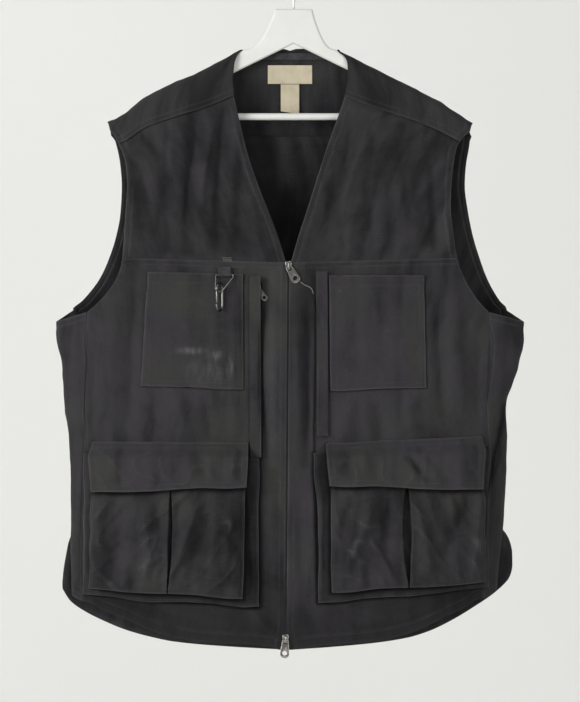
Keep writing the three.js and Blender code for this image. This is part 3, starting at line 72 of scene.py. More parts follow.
ridgeLine = {  # shares of the shoulder's run and drop, from the neck point to the tip
    "out": [0, 0.25, 0.5, 0.72, 0.87, 1],
    "right": [0, 0.25, 0.46, 0.66, 0.88, 1],
    "left": [0.02, 0.26, 0.47, 0.68, 0.86, 1.02],
}
bodyWidths = {  # half width of the closed body, down the body's levels
    "level": [0, 0.3, 0.453, 0.476, 0.52, 0.6, 0.65, 0.77, 0.85, 1],
    "right": [1.02, 1.02, 0.997, 0.997, 0.975, 0.962, 0.942, 0.935, 0.936, 0.91],
    "left": [1.02, 1.02, 0.997, 1, 0.979, 0.921, 0.924, 0.915, 0.893, 0.86],
}
backWidths = {  # the back panel flares below the vents
    "level": [0, 0.3, 0.453, 0.476, 0.52, 0.6, 0.65, 0.77, 0.82, 0.9, 1],
    "right": [1.04, 1.04, 0.997, 0.997, 0.975, 0.962, 0.942, 0.935, 0.985, 1.03, 1.04],
    "left": [1.04, 1.04, 0.997, 1, 0.979, 0.921, 0.924, 0.915, 0.98, 1.01, 1.03],
}
ventEdges = {
    "level": [0.775, 0.785, 0.8, 0.82, 0.84, 0.862, 0.878, 0.895, 0.91, 0.925],
    "right": [0.87, 0.87, 0.92, 0.947, 0.958, 0.968, 0.973, 0.975, 0.967, 0.935],
    "left": [0.851, 0.851, 0.91, 0.941, 0.952, 0.953, 0.943, 0.915, 0.87, 0.81],
}
sideSeams = {
    "level": [0.45, 0.6, 0.8, 1],
    "right": [0.87, 0.912, 0.945, 0.96],
    "left": [0.852, 0.912, 0.925, 0.945],
}
bodyDepths = {
    "level": [0, 0.15, 0.35, 0.55, 0.8, 1],
    "front": [0.3, 0.46, 0.66, 0.84, 1, 0.96],
    "back": [0.45, 0.75, 1, 1, 0.95, 0.8],
}
necklines = {  # shares of half the neck's width, down the V
    "down": [0, 0.05, 0.11, 0.18, 0.3, 0.45, 0.62, 0.77, 0.87, 1],
    "right": [0.86, 0.96, 1, 0.995, 0.905, 0.77, 0.56, 0.33, 0.18, 0.02],
    "left": [0.86, 0.99, 1.02, 0.99, 0.85, 0.65, 0.445, 0.27, 0.15, 0.02],
}
armholes = {  # shares of half the body's width, down the armhole
    "down": [0, 0.05, 0.12, 0.21, 0.31, 0.45, 0.57, 0.69, 0.78, 0.86, 0.93, 0.98, 1],
    "right": [0.784, 0.757, 0.727, 0.702, 0.695, 0.702, 0.708, 0.716, 0.739, 0.783, 0.842, 0.908, 0.99],
    "left": [0.784, 0.757, 0.714, 0.698, 0.689, 0.687, 0.697, 0.714, 0.743, 0.781, 0.829, 0.886, 0.99],
    "backRight": [0.784, 0.762, 0.742, 0.728, 0.722, 0.728, 0.747, 0.78, 0.815, 0.864, 0.92, 0.965, 0.99],
    "backLeft": [0.784, 0.776, 0.768, 0.755, 0.75, 0.765, 0.786, 0.817, 0.845, 0.88, 0.922, 0.965, 0.99],
}
hems = {  # hem level from the zip to the side
    "out": [0, 0.15, 0.35, 0.5, 0.6, 0.7, 0.8, 0.88, 0.94, 1],
    "right": [0.998, 0.99, 0.986, 0.977, 0.965, 0.947, 0.933, 0.92, 0.908, 0.895],
    "left": [0.998, 0.991, 0.984, 0.972, 0.956, 0.937, 0.919, 0.903, 0.889, 0.875],
    "backRight": [1.003, 1, 0.995, 0.989, 0.981, 0.97, 0.954, 0.938, 0.921, 0.88],
    "backLeft": [1.003, 0.999, 0.992, 0.983, 0.971, 0.952, 0.928, 0.906, 0.882, 0.84],
}


def readTable(table, key, column, at):  # a curve through the column that never overshoots
    xs, ys = np.array(table[key], float), np.array(table[column], float)
    slopes = np.diff(ys) / np.diff(xs)
    tangents = np.empty(len(ys))
    tangents[0], tangents[-1] = slopes[0], slopes[-1]
    for k in range(1, len(ys) - 1):
        a, b = slopes[k - 1], slopes[k]
        tangents[k] = 0 if a * b <= 0 else 2 * a * b / (a + b)
    at = np.clip(np.asarray(at, float), xs[0], xs[-1])
    k = np.clip(np.searchsorted(xs, at) - 1, 0, len(xs) - 2)
    run = xs[k + 1] - xs[k]
    t = (at - xs[k]) / run
    return (ys[k] * (2 * t**3 - 3 * t**2 + 1) + tangents[k] * run * (t**3 - 2 * t**2 + t)
            + ys[k + 1] * (3 * t**2 - 2 * t**3) + tangents[k + 1] * run * (t**3 - t**2))


def smooth(t):
    t = np.clip(t, 0, 1)
    return t * t * (3 - 2 * t)


def mix(a, b, t):
    return a + (b - a) * t


def levelOf(z):
    return (neckZ - z) / vest["length"]


def heightOf(level):
    return neckZ - np.asarray(level, float) * vest["length"]


def bySide(table, key, at, x):
    return np.where(x < 0, readTable(table, key, "right", at), readTable(table, key, "left", at))


def sign(side):
    return -1 if side == "right" else 1


def ridge(x):  # height of the shoulder line
    out = np.abs(x)
    start = neckHalf * vest["ridgeStart"]
    share = (out - start) / (tipHalf - start)
    drop = bySide(ridgeLine, "out", share, x)
    beyond = np.maximum(share - 1, 0) * np.where(x < 0, 0.12, 0.16) / 0.13
    outer = neckZ - vest["shoulderDrop"] * (drop + beyond)
    return np.where(out < start, neckZ + vest["neckRise"] * (1 - (out / start) ** 2), outer)


def walkedTo(drop):
    r = vest["ridgeRadius"]
    bent = r * np.arccos(np.clip(1 - drop / r, -1, 1))
    return np.where(drop < r, bent, quarterBend + drop - r)


# A small smooth noise on numpy arrays, the same on every run.
noiseSeeds = np.random.RandomState(7)
noiseTable = noiseSeeds.permutation(256)
noiseAngles = noiseSeeds.rand(256) * 2 * math.pi


def noiseField(x, y, seed=0):
    x, y = np.asarray(x, float) + 31.7 * seed, np.asarray(y, float) - 17.3 * seed
    ix, iy = np.floor(x).astype(int), np.floor(y).astype(int)
    fx, fy = x - ix, y - iy
    sx, sy = fx * fx * fx * (fx * (fx * 6 - 15) + 10), fy * fy * fy * (fy * (fy * 6 - 15) + 10)

    def corner(cx, cy):
        angle = noiseAngles[noiseTable[(noiseTable[(ix + cx) & 255] + iy + cy) & 255]]
        return np.cos(angle) * (fx - cx) + np.sin(angle) * (fy - cy)
    low = mix(corner(0, 0), corner(1, 0), sx)
    high = mix(corner(0, 1), corner(1, 1), sx)
    return mix(low, high, sy) * 1.4


def px(x):  # a place across the photograph, on the vest
    return (x - 290) * 1.34


def py(y):
    return -vest["hookRise"] - (y - 7) * 1.34


# Folds: ends in the photograph's own places, half width and height in mm. A plus rises.
frontFolds = [
    # wearer's right yoke
    (184, 104, 136, 250, 15, 7.5), (199, 104, 180, 256, 9, -7.0), (214, 104, 197, 226, 6, 5.5),
    (128, 130, 150, 244, 9, -6.0), (224, 100, 214, 240, 6, -6.0), (236, 104, 229, 256, 7, 5.5),
    (118, 120, 150, 176, 7, 3.4), (248, 180, 262, 256, 6, 3.2), (160, 200, 166, 258, 8, -2.8),
    (112, 150, 190, 128, 6, -2.2),
    # wearer's left yoke
    (352, 100, 340, 250, 10, -5.4), (366, 96, 356, 256, 10, 6.0), (392, 104, 424, 250, 13, -7.0),
    (455, 150, 404, 214, 9, 6.0), (462, 164, 424, 258, 8, -5.6), (336, 130, 318, 240, 7, 4.6),
    (440, 112, 396, 142, 8, 4.6), (376, 150, 384, 256, 9, 3.6), (440, 190, 452, 256, 6, 4.0),
    # beside and under the pockets
    (112, 285, 104, 436, 13, 7.5), (138, 268, 128, 440, 9, -6.4), (96, 330, 93, 440, 7, -5.5),
    (152, 392, 160, 446, 10, -4.0), (176, 388, 190, 450, 9, 4.5),
    (205, 392, 212, 446, 7, -4.0), (232, 384, 238, 446, 8, 4.0),
    (452, 268, 462, 436, 12, 7.0), (437, 270, 444, 438, 8, -6.0), (478, 320, 480, 440, 8, -5.0),
    (507, 402, 489, 488, 6.5, -8.0), (350, 392, 344, 446, 9, 4.6),
    (376, 394, 384, 446, 10, -4.4), (412, 390, 408, 440, 10, 4.0),
    # between the strips and the zip
    (261.5, 284, 261.5, 462, 3.0, -5.5), (273, 284, 271, 462, 8, 3.2), (309, 292, 308, 470, 6.0, -8.0),
    (296, 288, 300, 466, 5.5, 3.4), (278, 300, 268, 600, 8, 2.6),
    (300, 470, 304, 620, 8, -3.4), (312, 470, 314, 600, 6, 3.0),
    # above the hem
    (110, 600, 230, 622, 8, -4.0), (150, 606, 270, 632, 8, 3.8), (322, 612, 440, 600, 8, -4.0),
    (330, 626, 450, 608, 7, 3.6),
    (250, 600, 272, 640, 8, 3.0), (306, 600, 318, 640, 9, -3.6),
]
# Painted shade on the cloth: dark lines beside a raised edge or deep in a fold, width in mm and strength.
paintedShadeLines = [
    (261.3, 281, 261.6, 462, 2.0, 1.0), (315.6, 296, 314.6, 470, 2.2, 0.9), (302, 286, 303, 470, 13, 0.34),
    (507, 402, 489, 488, 6, 0.8), (86.8, 330, 78, 586, 1.6, 0.4), (489.7, 340, 488, 400, 1.6, 0.5),
    (191, 108, 184, 256, 10, 0.5), (222, 104, 214, 240, 6, 0.42), (134, 150, 150, 240, 8, 0.26),
    (400, 120, 428, 246, 15, 0.42), (248, 60, 238, 120, 4, 0.3), (250, 150, 284, 250, 4, 0.3),
    (112, 604, 270, 628, 10, 0.3), (330, 614, 440, 598, 9, 0.4), (270, 470, 274, 610, 8, 0.2),
]
paintedEdgeShadows = {  # painted shadow: which raised pieces darken the cloth beneath them, and how strongly
    "front_body": (("chest_pocket", 1.6, 0.7), ("base_pocket", 3.6, 1.0), ("pocket_flap", 2.2, 0.7)),
    "base_pocket": (("cargo_pocket", 4.2, 1.0), ("pocket_flap", 3.4, 1.0)),
    "cargo_pocket": (("pocket_flap", 4.2, 1.0),),
}


def alongLine(x0, y0, x1, y1, x, z):  # a line's length, and each point's place along it and off it
    ax, az, bx, bz = px(x0), py(y0), px(x1), py(y1)
    run = math.hypot(bx - ax, bz - az)
    along = ((x - ax) * (bx - ax) + (z - az) * (bz - az)) / run
    across = ((x - ax) * (bz - az) - (z - az) * (bx - ax)) / run
    return run, along, across


# Painted shade: the shade lines on the front and sides, and the shadow each raised piece casts on the cloth beneath it,
# reaching further below the piece than above it.
def shadeMask(name, x, z):
    dark = np.zeros(x.shape)
    if name.startswith("front") or name.startswith("side"):
        for x0, y0, x1, y1, width, strength in paintedShadeLines:
            run, along, across = alongLine(x0, y0, x1, y1, x, z)
            taper = smooth(along / 12 + 0.5) * smooth((run - along) / 12 + 0.5)
            dark = np.maximum(dark, strength * taper * np.exp(-(across / width) ** 2))
    piece, side = name.rsplit("_", 1)
    for other, width, strength in paintedEdgeShadows.get(piece, ()):
        ring = placed(other, side)
        t = np.linspace(0, 1, 90)
        o = np.zeros(90)
        line = np.concatenate([np.stack(ring(o, t), -1), np.stack(ring(t, o), -1), np.stack(ring(o + 1, t), -1)])
        near = np.full(x.size, 1e9)
        flat = np.stack([x.ravel(), z.ravel()], -1)
        for part in np.array_split(line, 9):
            near = np.minimum(near, np.min(np.sum((flat[:, None] - part[None]) ** 2, -1), 1))
        near = np.sqrt(near).reshape(x.shape)
        below = near * np.where(z < ring(0.5, 0.0)[1], 0.75, 1.0)
        dark = np.maximum(dark, strength * np.exp(-(below / width) ** 2))
    return dark


backFolds = [
    (500, 240, 420, 600, 28, 7.0), (350, 200, 330, 640, 22, -5.6), (470, 330, 500, 600, 16, -5.0),
    (140, 220, 180, 600, 28, 7.0), (235, 230, 250, 640, 22, -5.6), (110, 330, 90, 590, 16, -5.0),
    (400, 160, 300, 330, 20, 4.0), (170, 160, 270, 330, 20, -3.4),
]


def foldRise(folds, x, z):
    rise = np.zeros(np.broadcast(x, z).shape)
    for x0, y0, x1, y1, width, height in folds:
        run, along, across = alongLine(x0, y0, x1, y1, x, z)
        across = across + min(2.6, width * 0.22) * noiseField(along / 75, across / 120, 3)  # no fold is quite straight
        taper = smooth(along / (run * 0.35)) * smooth((run - along) / (run * 0.35))
        rise += height * taper * np.exp(-(across / width) ** 2)
    return rise


def bodyDepth(x, z, face):
    front = face == "front"
    level = levelOf(z)
    bulge = (vest["frontBulge"] if front else vest["backBulge"]) * readTable(bodyDepths, "level", face, level)
    drop = ridge(x) - z
    r = vest["ridgeRadius"]
    stand = r + (bulge - r) * (1 - np.exp(-np.maximum(drop, 0) / vest["bulgeRun"]))
    widths = bySide(bodyWidths if front else backWidths, "level", level, x) * half
    roundness = np.sqrt(np.maximum(0, 1 - np.clip(np.abs(x) / widths, 0, 1) ** 4))
    over = np.sqrt(np.maximum(0, 1 - (1 - np.clip(drop / r, 0, 1)) ** 2))
    folds = foldRise(frontFolds if front else backFolds, x, z) * smooth(drop / (4 * r))
    return over * stand * roundness + folds * roundness


def frontSurface(x, z):
    return np.stack([x, -bodyDepth(x, z, "front"), z], -1)


def backSurface(x, z):
    return np.stack([x, bodyDepth(x, z, "back"), z], -1)


def yokeSurface(x, walked):
    r = vest["ridgeRadius"]
    path = np.abs(walked)
    drop = np.where(path < quarterBend, r * (1 - np.cos(np.minimum(path, quarterBend) / r)), r + path - quarterBend)
    z = ridge(x) - drop
    depth = np.where(walked < 0, -bodyDepth(x, z, "front"), bodyDepth(x, z, "back"))
    return np.stack([x, depth, z], -1)


def sideSurface(side):
    def point(angle, z):
        level = levelOf(z)
        front = angle < 0
        bulge = np.where(front, vest["frontBulge"] * readTable(bodyDepths, "level", "front", level),
                         vest["backBulge"] * readTable(bodyDepths, "level", "back", level))
        width = half * readTable(bodyWidths, "level", side, level)
        x = sign(side) * width * np.sqrt(np.cos(angle))
        r = vest["ridgeRadius"]
        stand = r + (bulge - r) * (1 - np.exp(-(ridge(x) - z) / vest["bulgeRun"]))
        away = np.abs(np.sin(angle))
        folds = np.where(front, foldRise(frontFolds, x, z), foldRise(backFolds, x, z)) * smooth(away * 1.8)
        depth = stand * away + folds
        return np.stack([x, np.where(front, -depth, depth), z], -1)
    return point


def normals(surface, a, b, stepA, stepB, facing):
    alongA = surface(a + stepA, b) - surface(a - stepA, b)
    alongB = surface(a, b + stepB) - surface(a, b - stepB)
    n = np.cross(alongA, alongB)
    n /= np.maximum(np.linalg.norm(n, axis=-1, keepdims=True), 1e-9)
    flip = np.sign(np.sum(n * facing, -1, keepdims=True))
    return n * np.where(flip == 0, 1, flip)


def spread(length, coarse, fine=1.6, zone=12):  # dense rows near both edges, even ones between
    zone = min(zone, 0.4 * length)
    edge = np.arange(0, zone, fine)
    count = max(2, int(round((length - 2 * zone) / coarse)))
    middle = np.linspace(zone, length - zone, count + 1)
    return np.concatenate([[0, 0.5], edge[1:], middle, length - edge[:0:-1], [length - 0.5, length]]) / length


def between(foot, head, start, end):
    corners = [foot(np.array(0.0)), foot(np.array(1.0)), head(np.array(0.0)), head(np.array(1.0))]

    def patch(u, v):
        f, h, s, e = foot(u), head(u), start(v), end(v)
        return tuple(mix(f[k], h[k], v) + mix(s[k], e[k], u)
                     - mix(mix(corners[0][k], corners[1][k], u), mix(corners[2][k], corners[3][k], u), v)
                     for k in (0, 1))
    return patch


def edgeThrough(places):
    places = np.array(places, float)
    lengths = np.concatenate([[0], np.cumsum(np.linalg.norm(np.diff(places, axis=0), axis=1))])
    lengths /= lengths[-1]
    return lambda t: (np.interp(t, lengths, places[:, 0]), np.interp(t, lengths, places[:, 1]))


def meshObject(name, verts, faces, material, body="vest", uv=None, fields=None, shade=True):
    mesh = bpy.data.meshes.new(name)
    mesh.from_pydata([tuple(v) for v in np.asarray(verts) * 0.001], [], faces)
    mesh.validate()
    if uv is not None:
        layer = mesh.uv_layers.new(name="cloth")
        loops = np.empty(len(mesh.loops), int)
        mesh.loops.foreach_get("vertex_index", loops)
        layer.data.foreach_set("uv", (np.asarray(uv)[loops] * 0.001).ravel())
    for key, values in (fields or {}).items():
        attribute = mesh.attributes.new(key, "FLOAT", "POINT")
        attribute.data.foreach_set("value", np.asarray(values, float).ravel())
    for m in material if isinstance(material, (list, tuple)) else [material]:
        mesh.materials.append(m)
    if shade:
        mesh.shade_smooth()
    obj = bpy.data.objects.new(name, mesh)
    bpy.context.scene.collection.objects.link(obj)
    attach(obj, body)
    return obj


def turnOutward(obj, merge=0):  # every face of a closed piece looks outward
    mesh = bmesh.new()
    mesh.from_mesh(obj.data)
    if merge:
        bmesh.ops.remove_doubles(mesh, verts=mesh.verts, dist=merge)
    bmesh.ops.recalc_face_normals(mesh, faces=mesh.faces)
    mesh.to_mesh(obj.data)
    mesh.free()


class Wire:  # a socket: sums on it add Math nodes
    def __init__(self, finish, socket):
        self.finish, self.socket = finish, socket

    def __add__(self, other):
        return self.finish.maths("ADD", self, other)

    def __sub__(self, other):
        return self.finish.maths("SUBTRACT", self, other)

    def __mul__(self, other):
        return self.finish.maths("MULTIPLY", self, other)

    __radd__ = __add__
    __rmul__ = __mul__


class Finish:  # one material and the nodes on it
    def __init__(self, name):
        self.material = bpy.data.materials.new(name)
        self.material.use_nodes = True
        self.tree = self.material.node_tree
        self.tree.nodes.clear()
        self.surface = self.tree.nodes.new("ShaderNodeBsdfPrincipled")
        self.end = self.tree.nodes.new("ShaderNodeOutputMaterial")
        self.tree.links.new(self.surface.outputs[0], self.end.inputs[0])

    def put(self, socket, value):
        if isinstance(value, Wire):
            self.tree.links.new(value.socket, socket)
        elif value is not None:
            socket.default_value = value

    def node(self, kind, settings=None, sockets=None, output=0):
        made = self.tree.nodes.new(kind)
        for key, value in (settings or {}).items():
            setattr(made, key, value)
        for key, value in (sockets or {}).items():
            self.put(made.inputs[key], value)
        return Wire(self, made.outputs[output])

    def maths(self, operation, a, b=None):
        return self.node("ShaderNodeMath", {"operation": operation}, {0: a, 1: b})

    def clamped(self, a, low, high):
        return self.node("ShaderNodeMapRange", {"interpolation_type": "SMOOTHSTEP"},
                         {"Value": a, "From Min": low, "From Max": high})

    def blendColours(self, factor, a, b, how="MIX"):
        return self.node("ShaderNodeMix", {"data_type": "RGBA", "blend_type": how}, {0: factor, 6: a, 7: b}, 2)

    def noise(self, vector, scale, detail=2.0, rough=0.5):
        return self.node("ShaderNodeTexNoise", None,
                         {"Vector": vector, "Scale": scale, "Detail": detail, "Roughness": rough})

    def bump(self, height, distance, strength=1.0, after=None):
        return self.node("ShaderNodeBump", None,
                         {"Height": height, "Distance": distance, "Strength": strength, "Normal": after})

    def set(self, **values):
        for key, value in values.items():
            self.put(self.surface.inputs[key.replace("_", " ")], value)
        return self.material


# the deep colour is painted shade
canvasFinish = {
    "dark": (0.0075, 0.0073, 0.0082, 1), "faded": (0.036, 0.0355, 0.0385, 1),
    "plum": (0.031, 0.0245, 0.0325, 1), "olive": (0.027, 0.0275, 0.0215, 1),
    "worn": (0.10, 0.098, 0.104, 1), "deep": (0.0028, 0.0027, 0.003, 1),
    "lintDark": (0.2, 0.2, 0.2, 1), "lintPale": (0.85, 0.85, 0.85, 1), "lint": 0.55,
    "thread": 0.00085, "roughness": 0.84,
}


def canvas(name, fade, tint):  # washed canvas, paler where it rubs
    c = canvasFinish
    f = Finish(name)
    uv = f.node("ShaderNodeUVMap", {"uv_map": "cloth"})
    place = f.node("ShaderNodeSeparateXYZ", None, {0: uv})
    up = Wire(f, place.socket.node.outputs[1])
    step = 2 * math.pi / c["thread"]
    warp = f.maths("SINE", place * step)
    weft = f.maths("SINE", up * step)
    slubs = (f.noise(f.node("ShaderNodeCombineXYZ", None, {0: place * 900, 1: up * 50}), 1.0, 1.0)
             + f.noise(f.node("ShaderNodeCombineXYZ", None, {0: place * 50, 1: up * 900}), 1.0, 1.0) - 1)
    streaks = f.noise(f.node("ShaderNodeCombineXYZ", None, {0: place * 40, 1: up * 7}), 1.0, 2.0, 0.5)
    cloudy = f.noise(uv, 15, 3.0, 0.55)
    broad = f.noise(uv, 5.5, 2.0)
    fibre = f.noise(uv, 1500, 2.0, 0.7)
    tone = streaks * 0.5 + cloudy * 0.45 + broad * 0.35 + slubs * 0.1
    fadeMask = f.clamped(tone + (fade - 0.5) * 0.34, 0.44, 0.86)
    cloth = f.blendColours(fadeMask, c["dark"], c["faded"])
    hue = f.noise(uv, 7.5, 2.0)
    tinted = f.blendColours(f.clamped(hue, 0.36, 0.64), c["plum"], c["olive"])
    cloth = f.blendColours(fadeMask * tint, cloth, tinted)
    # the attribute holds rubbed wear above zero and painted shade below zero
    wearAndShadeValue = f.node("ShaderNodeAttribute", {"attribute_name": "wearAndShade"}, None, 2)
    worn = f.clamped(wearAndShadeValue * (0.6 + 0.8 * cloudy + 0.5 * slubs) + fibre * 0.1, 0.12, 1.2)
    cloth = f.blendColours(worn, cloth, c["worn"])
    # painted shade: below zero the cloth is darkened towards the deep colour, standing in for shade in folds, beside
    # raised edges and under pockets and flaps
    paintedShade = f.clamped(wearAndShadeValue * -1, 0.0, 0.9)
    cloth = f.blendColours(paintedShade, cloth, c["deep"])
    lint = f.blendColours(fibre * 0.6 + f.noise(uv, 420, 2.0, 0.6) * 0.4, c["lintDark"], c["lintPale"])
    cloth = f.blendColours(c["lint"], cloth, lint, "SOFT_LIGHT")
    weave = f.bump(warp * weft * 0.5 + slubs * 0.8, 0.00022, 0.55)
    crinkle = f.bump(f.noise(uv, 300, 2.0, 0.6), 0.0006, 0.6, weave)
    soft = f.bump(f.noise(uv, 80, 3.0, 0.6), 0.0022, 0.75, crinkle)
    return f.set(Base_Color=cloth, Roughness=c["roughness"] + 0.08 * cloudy, Normal=soft,
                 Sheen_Weight=0.04, Sheen_Roughness=0.5, Specular_IOR_Level=0.22)


def plainCloth(name, dark, light, thread=0.0006, worn=0.0, rib=0.0):  # tapes, webbing and labels
    f = Finish(name)
    uv = f.node("ShaderNodeUVMap", {"uv_map": "cloth"})
    place = f.node("ShaderNodeSeparateXYZ", None, {0: uv})
    up = Wire(f, place.socket.node.outputs[1])
    step = 2 * math.pi / thread
    weave = f.maths("SINE", place * step) * f.maths("SINE", up * step)
    ribs = f.maths("SINE", place * (step * 0.35)) * rib
    cloudy = f.noise(uv, 40, 3.0, 0.6)
    colour = f.blendColours(f.clamped(cloudy + weave * 0.1 + worn * 0.3, 0.3, 0.8), dark, light)
    return f.set(Base_Color=colour, Roughness=0.82 + 0.1 * cloudy, Normal=f.bump(weave * 0.5 + ribs, 0.0003, 0.6),
                 Specular_IOR_Level=0.3)


def metal(name, colour, roughness, marks=0.25, grime=(0.05, 0.05, 0.05, 1)):
    f = Finish(name)
    place = f.node("ShaderNodeTexCoord", None, None, 3)
    scratches = f.noise(f.node("ShaderNodeMapping", None, {0: place, "Scale": (1.0, 1.0, 0.12)}), 2600, 3.0, 0.6)
    patches = f.noise(place, 160, 3.0, 0.6)
    dirt = f.clamped(patches, 0.52, 0.78) * marks
    base = f.blendColours(dirt, colour, grime)
    return f.set(Base_Color=base, Metallic=1.0, Roughness=roughness + 0.18 * patches + 0.08 * scratches,
                 Normal=f.bump(scratches, 0.00004, 0.5))


def paintedWood(name):
    f = Finish(name)
    place = f.node("ShaderNodeTexCoord", None, None, 3)
    grain = f.noise(f.node("ShaderNodeMapping", None, {0: place, "Scale": (0.06, 1.0, 1.0)}), 420, 4.0, 0.55)
    smudge = f.noise(place, 22, 4.0, 0.6)
    chips = f.clamped(f.noise(place, 130, 4.0, 0.7), 0.72, 0.76)
    base = f.blendColours(f.clamped(smudge, 0.3, 0.8), (0.71, 0.71, 0.685, 1), (0.65, 0.65, 0.625, 1))
    base = f.blendColours(chips * 0.5, base, (0.55, 0.50, 0.42, 1))
    return f.set(Base_Color=base, Roughness=0.38 + 0.18 * smudge, Coat_Weight=0.12,
                 Normal=f.bump(grain * 0.6 + smudge * 0.4, 0.00025, 0.5))


canvasYoke = canvas("canvasYoke", 0.42, 0.45)
canvasBody = canvas("canvasBody", 0.58, 0.5)
canvasPocket = canvas("canvasPocket", 0.68, 0.55)
canvasCargo = canvas("canvasCargo", 0.38, 0.55)
canvasFlap = canvas("canvasFlap", 0.74, 0.55)
canvasInside = canvas("canvasInside", 0.3, 0.35)
sewingThread = plainCloth("sewingThread", (0.03, 0.03, 0.032, 1), (0.13, 0.128, 0.135, 1), 0.0004)
paleThread = plainCloth("paleThread", (0.25, 0.25, 0.26, 1), (0.6, 0.6, 0.6, 1), 0.0004)
tapeWeave = plainCloth("tapeWeave", (0.008, 0.008, 0.009, 1), (0.02, 0.02, 0.022, 1), 0.0006)
webbingWeave = plainCloth("webbingWeave", (0.012, 0.012, 0.013, 1), (0.05, 0.05, 0.055, 1), 0.0012, 0.4, 0.5)
labelWeave = plainCloth("labelWeave", (0.43, 0.375, 0.265, 1), (0.57, 0.51, 0.38, 1), 0.0005, 0.4)
carePaper = plainCloth("carePaper", (0.45, 0.39, 0.28, 1), (0.58, 0.52, 0.39, 1), 0.0004, 0.5)
nickel = metal("nickel", (0.50, 0.485, 0.455, 1), 0.10, 0.6, (0.03, 0.03, 0.03, 1))
clipSteel = metal("clipSteel", (0.19, 0.185, 0.18, 1), 0.09, 1.0, (0.01, 0.01, 0.01, 1))
pocketSteel = metal("pocketSteel", (0.32, 0.31, 0.30, 1), 0.14, 0.8)
darkMetal = metal("darkMetal", (0.10, 0.10, 0.11, 1), 0.32, 0.5)
hookSteel = metal("hookSteel", (0.68, 0.68, 0.66, 1), 0.22, 0.2)
whiteWood = paintedWood("whiteWood")
print("finishes ready")


def arcLengths(points, axis):  # distance walked along each row or column
    steps = np.linalg.norm(np.diff(points, axis=axis), axis=-1)
    walked = np.cumsum(steps, axis=axis)
    return np.concatenate([np.zeros_like(np.take(walked, [0], axis)), walked], axis=axis)


def walkedOver(points):  # distance walked across and up, and the distance from each edge
    walkU, walkV = arcLengths(points, 1), arcLengths(points, 0)
    far = {"start": walkU, "end": walkU[:, -1:] - walkU, "foot": walkV, "head": walkV[-1:, :] - walkV}
    return walkU, walkV, far


def quads(grid, flipped=False):
    q = np.stack([grid[:-1, :-1], grid[:-1, 1:], grid[1:, 1:], grid[1:, :-1]], -1).reshape(-1, 4)
    return q[:, ::-1] if flipped else q


def rimQuads(top, under):  # the faces that close the rim between two grids
    for one, two in ((top[0], under[0]), (top[:, -1], under[:, -1]),
                     (top[-1, ::-1], under[-1, ::-1]), (top[::-1, 0], under[::-1, 0])):
        yield np.stack([one[1:], one[:-1], two[:-1], two[1:]], -1)


def squareMetres(points):
    across, up = points[:-1, 1:] - points[:-1, :-1], points[1:, :-1] - points[:-1, :-1]
    return float(np.sum(np.linalg.norm(np.cross(up, across), axis=-1))) * 1e-6


edgeWork = {
    "hem": {"band": 9.0, "raise": 0.75, "rows": [7.6], "wearAndShade": 0.6, "pucker": 0.45},
    "hemWide": {"band": 14.0, "raise": 0.8, "rows": [12.4], "wearAndShade": 0.55, "pucker": 0.6},
    "lap": {"band": 8.5, "raise": 0.9, "rows": [2.0, 7.2], "wearAndShade": 0.5, "pucker": 0.7},
    "butt": {"band": 0, "raise": 0, "rows": [], "wearAndShade": 0.12, "pucker": 0.6},
    "topstitch": {"band": 0, "raise": 0, "rows": [2.0, 8.0], "wearAndShade": 0.58, "pucker": 0.5},
    "one": {"band": 0, "raise": 0.0, "rows": [2.2], "wearAndShade": 0.5, "pucker": 0.5},
    "plain": {"band": 0, "raise": 0, "rows": [], "wearAndShade": 0.2, "pucker": 0},
}


# Relief sizes, and how much painted shade the valleys and sunk folds get.
clothRelief = {
    "ripple": 1.2, "crease": 1.6, "band": 2.0, "calmZone": 14,
    "creaseWear": 0.26, "paintedShade": 0.5, "backPaintedShade": 0.2, "pressedShade": 0.15, "pressedPale": 0.03,
}


